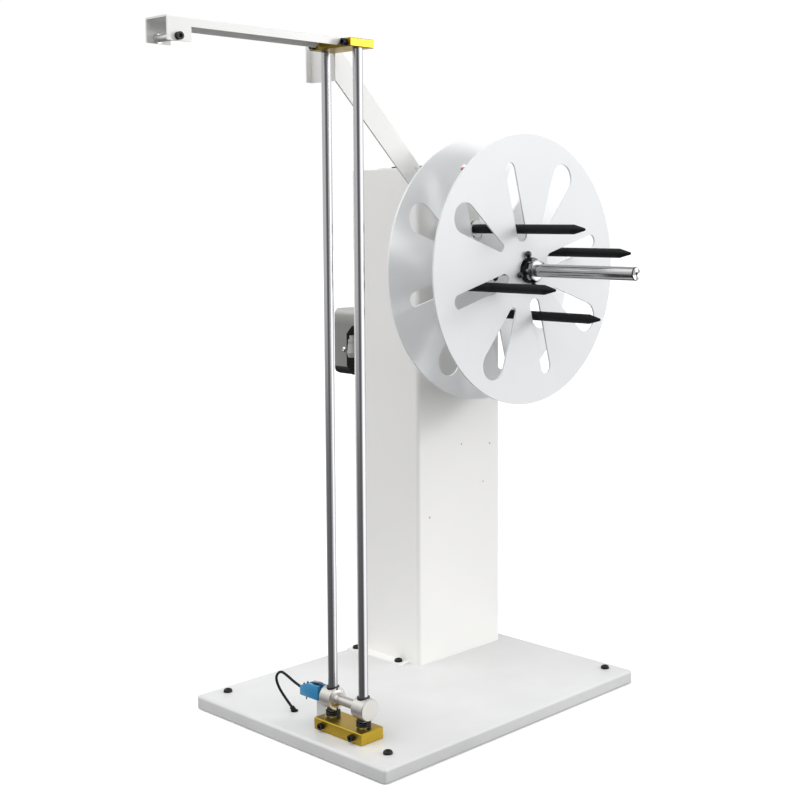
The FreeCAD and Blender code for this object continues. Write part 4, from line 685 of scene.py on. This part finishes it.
def makeStopSprings():
    deselectAll()
    wire = spring["wireRadius"]
    bpy.ops.mesh.primitive_circle_add(vertices=spring["wireSides"], radius=wire,
                                      location=(spring["radius"], 0, wire), rotation=(math.radians(90), 0, 0))
    coil = started("stopSpring")
    screw = coil.modifiers.new("coil", "SCREW")
    screw.angle = math.radians(360 * spring["turns"])
    screw.screw_offset = spring["height"] - 2 * wire
    screw.steps = int(spring["turns"] * spring["stepsPerTurn"])
    screw.render_steps = screw.steps
    screw.use_merge_vertices = False
    applyAll(coil)
    bpy.ops.object.mode_set(mode="EDIT")
    bpy.ops.mesh.select_all(action="SELECT")
    bpy.ops.mesh.fill_holes(sides=0)
    for height, side in ((spring["ground"], -1), (spring["height"] - spring["ground"], 1)):
        bpy.ops.mesh.select_all(action="SELECT")
        bpy.ops.mesh.bisect(plane_co=(0, 0, height), plane_no=(0, 0, side), use_fill=True, clear_outer=True)
    bpy.ops.mesh.select_all(action="SELECT")
    bpy.ops.mesh.normals_make_consistent(inside=False)
    bpy.ops.object.mode_set(mode="OBJECT")
    bpy.ops.object.shade_smooth_by_angle(angle=math.radians(spring["smoothAngle"]))
    coils = [coil, copied(coil, "stopSpring2")]
    for one, rod in zip(coils, rodsX):
        placed(one, at(rod, rodsY, spring["seat"]))
    fitted(dressed(joined(coils, "stopSprings"), "oxide"), "frame", ["stop_springs"])
    print("stop springs wound")


makeStopSprings()


# lock screws round the collar: a ball on a short neck, with its stem

knob = {
    "ball": 0.0045, "segments": 32, "rings": 20, "seat": 0.023, "cut": 0.86,
    "neck": 0.0022, "neckDrop": 0.0002, "ring": 0.0032, "ringDrop": 0.0009, "stem": 0.002, "end": 0.0091,
    "softEdge": 0.00012, "merge": 0.000005,
    "line": 87.4, "firstTurn": 15.5, "count": 4,
}


def makeLockKnobs():
    deselectAll()
    bpy.ops.mesh.primitive_uv_sphere_add(segments=knob["segments"], ring_count=knob["rings"],
                                         radius=knob["ball"], location=(0, 0, knob["seat"]))
    first = started("lockKnob1")
    foot = knob["seat"] - knob["ball"] * knob["cut"]
    bpy.ops.object.mode_set(mode="EDIT")
    pick(lambda face: face.calc_center_median().z < foot)
    bpy.ops.mesh.delete(type="FACE")
    pick(lambda edge: edge.is_boundary, "EDGE")
    radius = max(abs(v.co.x) for v in bmesh.from_edit_mesh(first.data).verts if v.select)
    steps = ((knob["neck"], knob["neckDrop"]), (knob["ring"], 0.0), (knob["ring"], knob["ringDrop"]),
             (knob["stem"], 0.0), (knob["stem"], 0.0))
    for size, drop in steps:
        extruded(drop)
        bpy.ops.transform.resize(value=(size / radius, size / radius, 1))
        radius = size
    low = min(v.co.z for v in bmesh.from_edit_mesh(first.data).verts)
    bpy.ops.transform.translate(value=(0, 0, knob["end"] - low))
    bpy.ops.mesh.edge_face_add()
    bpy.ops.mesh.select_all(action="SELECT")
    bpy.ops.mesh.remove_doubles(threshold=knob["merge"])
    bpy.ops.mesh.normals_make_consistent(inside=False)
    bpy.ops.object.mode_set(mode="OBJECT")
    soften(first, knob["softEdge"], 1, shaping["steepAngle"])
    numbers = range(1, knob["count"] + 1)
    knobs = [first] + [copied(first, "lockKnob%d" % number) for number in numbers[1:]]
    for number, one in zip(numbers, knobs):
        turn = math.radians(knob["firstTurn"] - 360 / knob["count"] * (number - 1))
        placed(one, at(knob["line"], *spindleLine), (turn, 0, 0))
        fitted(dressed(one, "knobPlastic"), "lock_%d" % number, ["lock_screw_%d" % number])
    print("lock knobs made")


makeLockKnobs()


# position switch: case with a sloped shoulder, slot, seam, two plungers, a pin and a cable sleeve

switch = {
    "case": {
        "low": (-10.0, -205.0, 53.0), "high": (24.5, -191.0, 71.0), "softEdge": 0.0006,
        "slopeFoot": 65.0, "slopeTop": 4.0, "slot": (1.5, -201.0, 66.0), "slotEnd": (26.0, -195.0, 73.0),
        "seamPlace": 4.2, "seamWidth": 0.00018, "seamDepth": 0.0003, "seamNear": 0.0001,
        "screwLine": 62.0, "screws": (9.5, 18.5), "screwRadius": 0.0015, "screwCover": 3.0, "screwPast": 1,
    },
    "plunger": {"height": 1.9, "radius": 0.0012, "softEdge": 0.0005, "segments": 3},
    "plungers": ((-3.6, -203.2, 67.5), (3.2, -203.0, 70.8)),
    "pin": {
        "place": (-1.2, -201.5, 53.0), "root": 0.001, "length": 0.0052, "radius": 0.0008, "sides": 12,
        "softEdge": 0.00025,
    },
    "sleeve": {
        "start": (-9.0, -197.9, 57.8), "radius": 0.0031, "sides": 32, "softEdge": 0.0004,
        "taper": 0.8, "endFacing": 0.9,
    },
}


def makeCase():
    case = switch["case"]
    front = case["low"][1]
    body = boxBetween("switchHousing", case["low"], case["high"])
    bpy.ops.object.mode_set(mode="EDIT")
    bpy.ops.mesh.select_all(action="SELECT")
    foot = at(case["low"][0], front, case["slopeFoot"])
    top = at(case["slopeTop"], front, case["high"][2])
    slope = Vector((foot.z - top.z, 0, top.x - foot.x)).normalized()
    bpy.ops.mesh.bisect(plane_co=foot, plane_no=slope, use_fill=True, clear_outer=True)
    bpy.ops.mesh.select_all(action="SELECT")
    seam = at(0, front + case["seamPlace"], 0).y
    bpy.ops.mesh.bisect(plane_co=(0, seam, 0), plane_no=(0, 1, 0))
    pick(lambda edge: all(abs(v.co.y - seam) < shaping["samePlace"] for v in edge.verts), "EDGE")
    bpy.ops.mesh.bevel(offset=case["seamWidth"], segments=1)
    pick(lambda face: abs(face.calc_center_median().y - seam) < case["seamNear"])
    bpy.ops.mesh.extrude_region_shrink_fatten(TRANSFORM_OT_shrink_fatten={"value": -case["seamDepth"]})
    bpy.ops.object.mode_set(mode="OBJECT")
    cutAway(body, boxBetween("slotCutter", case["slot"], case["slotEnd"]))
    for x in case["screws"]:
        start = at(x, front + case["screwCover"], case["screwLine"])
        end = at(x, case["high"][1] + case["screwPast"], case["screwLine"])
        cutAway(body, rodBetween("holeCutter", start, end, case["screwRadius"]))
    soften(body, case["softEdge"])
    return dressed(body, "bluePlastic")


def makePlunger(x, y, z):
    plunger = switch["plunger"]
    made = rodBetween("plunger", at(x, y, z), at(x, y, z + plunger["height"]), plunger["radius"])
    soften(made, plunger["softEdge"], plunger["segments"])
    return dressed(made, "knobPlastic")


def makePin():
    pin = switch["pin"]
    place = at(*pin["place"])
    top, tip = place + Vector((0, 0, pin["root"])), place - Vector((0, 0, pin["length"]))
    made = rodBetween("terminalPin", top, tip, pin["radius"], pin["sides"])
    soften(made, pin["softEdge"])
    return dressed(made, "leafBronze")


def makeSleeve():
    # it ends where the cable comes out
    sleeve = switch["sleeve"]
    start, end = at(*sleeve["start"]), at(*cable["points"][0])
    made = rodBetween("cableSleeve", start, end, sleeve["radius"], sleeve["sides"])
    along = (end - start).normalized()
    bpy.ops.object.mode_set(mode="EDIT")
    pick(lambda face: face.normal.dot(along) > sleeve["endFacing"])
    bpy.ops.transform.resize(value=(sleeve["taper"], sleeve["taper"], sleeve["taper"]))
    bpy.ops.object.mode_set(mode="OBJECT")
    soften(made, sleeve["softEdge"])
    return dressed(made, "rubber")


def makeSwitch():
    parts = [makeCase()]
    parts += [makePlunger(*place) for place in switch["plungers"]]
    parts += [makePin(), makeSleeve()]
    fitted(joined(parts, "switchHousing"), "frame", ["sensor_body"])
    print("position switch made")


makeSwitch()


# domed screws of the tray and the column's flanges, and the two bolts up into the lower block

baseScrew = {
    "head": 0.0059, "sides": 36, "height": 0.0044, "dome": 0.0029, "domeSegments": 6, "domeRoundness": 0.5,
    "socket": 0.0024, "depth": 0.0016, "shank": 0.003, "length": 0.014, "tip": 0.85, "softEdge": 0.00025,
    "tray": ((-164, -204, 19), (152, -204, 19), (152, 219, 19)),
    "flange": ((-164, 224.75, 21), (-82, 36.25, 21), (-172, 36.25, 21), (-82, 224.75, 21)),
    "block": ((54.575, rodsY, 17), (82.925, rodsY, 17)),    # these two point up, heads down
}


def makeBaseScrews():
    screw = baseScrew
    bottom, top = Vector((0, 0, 0)), Vector((0, 0, screw["height"]))
    first = rodBetween("baseScrew", bottom, top, screw["head"], screw["sides"])
    rim = screw["height"] - shaping["samePlace"]
    bpy.ops.object.mode_set(mode="EDIT")
    pick(lambda edge: all(v.co.z > rim for v in edge.verts), "EDGE")
    bpy.ops.mesh.bevel(offset=screw["dome"], segments=screw["domeSegments"], profile=screw["domeRoundness"])
    pick(lambda face: face.normal.z > shaping["straight"])
    bpy.ops.mesh.inset(thickness=screw["head"] - screw["dome"] - screw["socket"])
    extruded(screw["depth"])
    pick(lambda face: face.normal.z < -shaping["straight"])
    bpy.ops.mesh.inset(thickness=screw["head"] - screw["shank"])
    extruded(screw["length"])
    bpy.ops.transform.resize(value=(screw["tip"], screw["tip"], 1))
    bpy.ops.object.mode_set(mode="OBJECT")
    soften(first, screw["softEdge"], 1, shaping["steepAngle"])
    places = screw["tray"] + screw["flange"] + screw["block"]
    screws = [first] + [copied(first, "baseScrew%d" % number) for number in range(1, len(places))]
    for one, place in zip(screws, places):
        placed(one, at(*place), (math.pi, 0, 0) if place in screw["block"] else (0, 0, 0))
    fitted(dressed(joined(screws, "baseScrews"), "oxide"), "frame", ["base_screws"])
    print("base screws made")


makeBaseScrews()


# floor and light

floorLook = {
    "size": 40.0, "tone": (0.95, 0.95, 0.95), "rough": 0.7, "glow": 0.14,
    "cloud": {"scale": 3.0, "detail": 2.0}, "cloudShare": 0.2, "cloudShade": 0.99,
    "bounceTone": (0.24, 0.24, 0.24),    # what the machine sees of it
}


def makeFloor():
    deselectAll()
    bpy.ops.mesh.primitive_plane_add(size=floorLook["size"], location=(0, 0, 0))
    floor = bpy.context.object
    floor.name = "studioFloor"
    finish = Finish("floorPaint")
    cloud = finish.noise(**floorLook["cloud"])
    tone = finish.mix(cloud * floorLook["cloudShare"],
                      colour(*floorLook["tone"]), shade(floorLook["tone"], floorLook["cloudShade"]))
    pale = finish.node("BsdfPrincipled", {}, {"Base Color": tone, "Roughness": floorLook["rough"],
                                              "Emission Color": colour(1, 1, 1),
                                              "Emission Strength": floorLook["glow"]})
    dim = finish.node("BsdfDiffuse", {}, {"Color": colour(*floorLook["bounceTone"])})
    seen = finish.node("LightPath", {}, {}, "Is Camera Ray")
    mixed = finish.node("MixShader", {}, {0: seen, 1: dim, 2: pale})
    output = finish.tree.nodes.new("ShaderNodeOutputMaterial")
    finish.tree.links.new(mixed.socket, output.inputs[0])
    floor.data.materials.append(finish.material)
    floor.visible_glossy = False    # the metals mirror the studio all the way down


# A side of the sky has its whole amount within the inner share of its width and none past the outer share.
# The dark side and the front side take light away, the others add it.

skyLook = {
    "fill": 0.9, "overhead": -0.36, "overheadEdge": (0.1, 0.8),
    "lowEdge": (0.35, 0.45), "highEdge": (0.25, 0.3), "nearEdge": (-0.17, 0.11),
    "brightEdge": (-0.52, 0.14), "underEdge": (-0.5, 0.3), "underDepth": 0.8,
    "sides": {
        "dark": {"turn": -49.0, "width": 27.0, "amount": 0.7},
        "front": {"turn": -88.0, "width": 66.0, "amount": 0.66},
        "high": {"turn": -100.0, "width": 66.0, "amount": 1.55},
        "bright": {"turn": 31.0, "width": 33.0, "amount": 1.25},
        "back": {"turn": 125.0, "width": 50.0, "amount": 0.2},
    },
    "inner": 0.65, "outer": 1.35,
    "backdrop": 1.02,    # what the camera sees of it
}


class Sky(Finish):
    # the studio round the machine, written like a finish
    def __init__(self, world):
        world.use_nodes = True
        self.tree = world.node_tree
        self.tree.nodes.clear()
        self.coords = self.node("TexCoord", {}, {}, "Generated")

    def side(self, turn, width, amount):
        angle = math.radians(turn)
        flat = self.node("VectorMath", {"operation": "MULTIPLY"}, {0: self.coords, 1: (1.0, 1.0, 0.0)})
        flat = self.node("VectorMath", {"operation": "NORMALIZE"}, {0: flat})
        along = self.node("VectorMath", {"operation": "DOT_PRODUCT"},
                          {0: flat, 1: (math.cos(angle), math.sin(angle), 0.0)}, "Value")
        outer = math.cos(math.radians(width * skyLook["outer"]))
        inner = math.cos(math.radians(width * skyLook["inner"]))
        return along.above(outer, inner - outer) * amount


def makeSky():
    world = bpy.data.worlds.new("studioWorld")
    bpy.context.scene.world = world
    sky = Sky(world)
    side = {name: sky.side(**values) for name, values in skyLook["sides"].items()}
    up = sky.part(2)
    low = 1.0 - up.above(*skyLook["lowEdge"])
    near = 1.0 - up.above(*skyLook["nearEdge"])
    under = 1.0 - up.above(*skyLook["underEdge"])
    level = skyLook["fill"] + up.above(*skyLook["overheadEdge"]) * skyLook["overhead"]
    level = level + side["back"] * low + side["high"] * up.above(*skyLook["highEdge"])
    darkest = sky.node("Math", {"operation": "MAXIMUM"}, {0: side["dark"] * low, 1: side["front"] * near})
    level = (level - darkest) * (1.0 - under * skyLook["underDepth"])
    level = level + side["bright"] * low * up.above(*skyLook["brightEdge"])
    seen = sky.node("LightPath", {}, {}, "Is Camera Ray")
    level = level + (skyLook["backdrop"] - level) * seen
    glow = sky.node("Background", {}, {0: colour(1, 1, 1), 1: level})
    output = sky.tree.nodes.new("ShaderNodeOutputWorld")
    sky.tree.links.new(glow.socket, output.inputs[0])


lamps = {
    "overheadLight": {"place": (1.3, -0.2, 3.4), "aim": (0.0, 0.1, 0.3), "size": 2.6, "power": 5.0},
    "sideLight": {"place": (2.5, 2.1, 1.3), "aim": (0.0, 0.1, 0.5), "size": 0.65, "power": 25.0},
}


def areaLight(name, place, aim, size, power):
    data = bpy.data.lights.new(name, "AREA")
    data.shape = "SQUARE"
    data.size = size
    data.energy = power
    lamp = bpy.data.objects.new(name, data)
    lamp.location = place
    lamp.rotation_euler = (Vector(aim) - Vector(place)).to_track_quat("-Z", "Y").to_euler()
    bpy.context.scene.collection.objects.link(lamp)


def makeStudio():
    makeFloor()
    makeSky()
    for name, values in lamps.items():
        areaLight(name, **values)
    bpy.context.scene.view_settings.view_transform = "Standard"
    print("studio lit")


makeStudio()
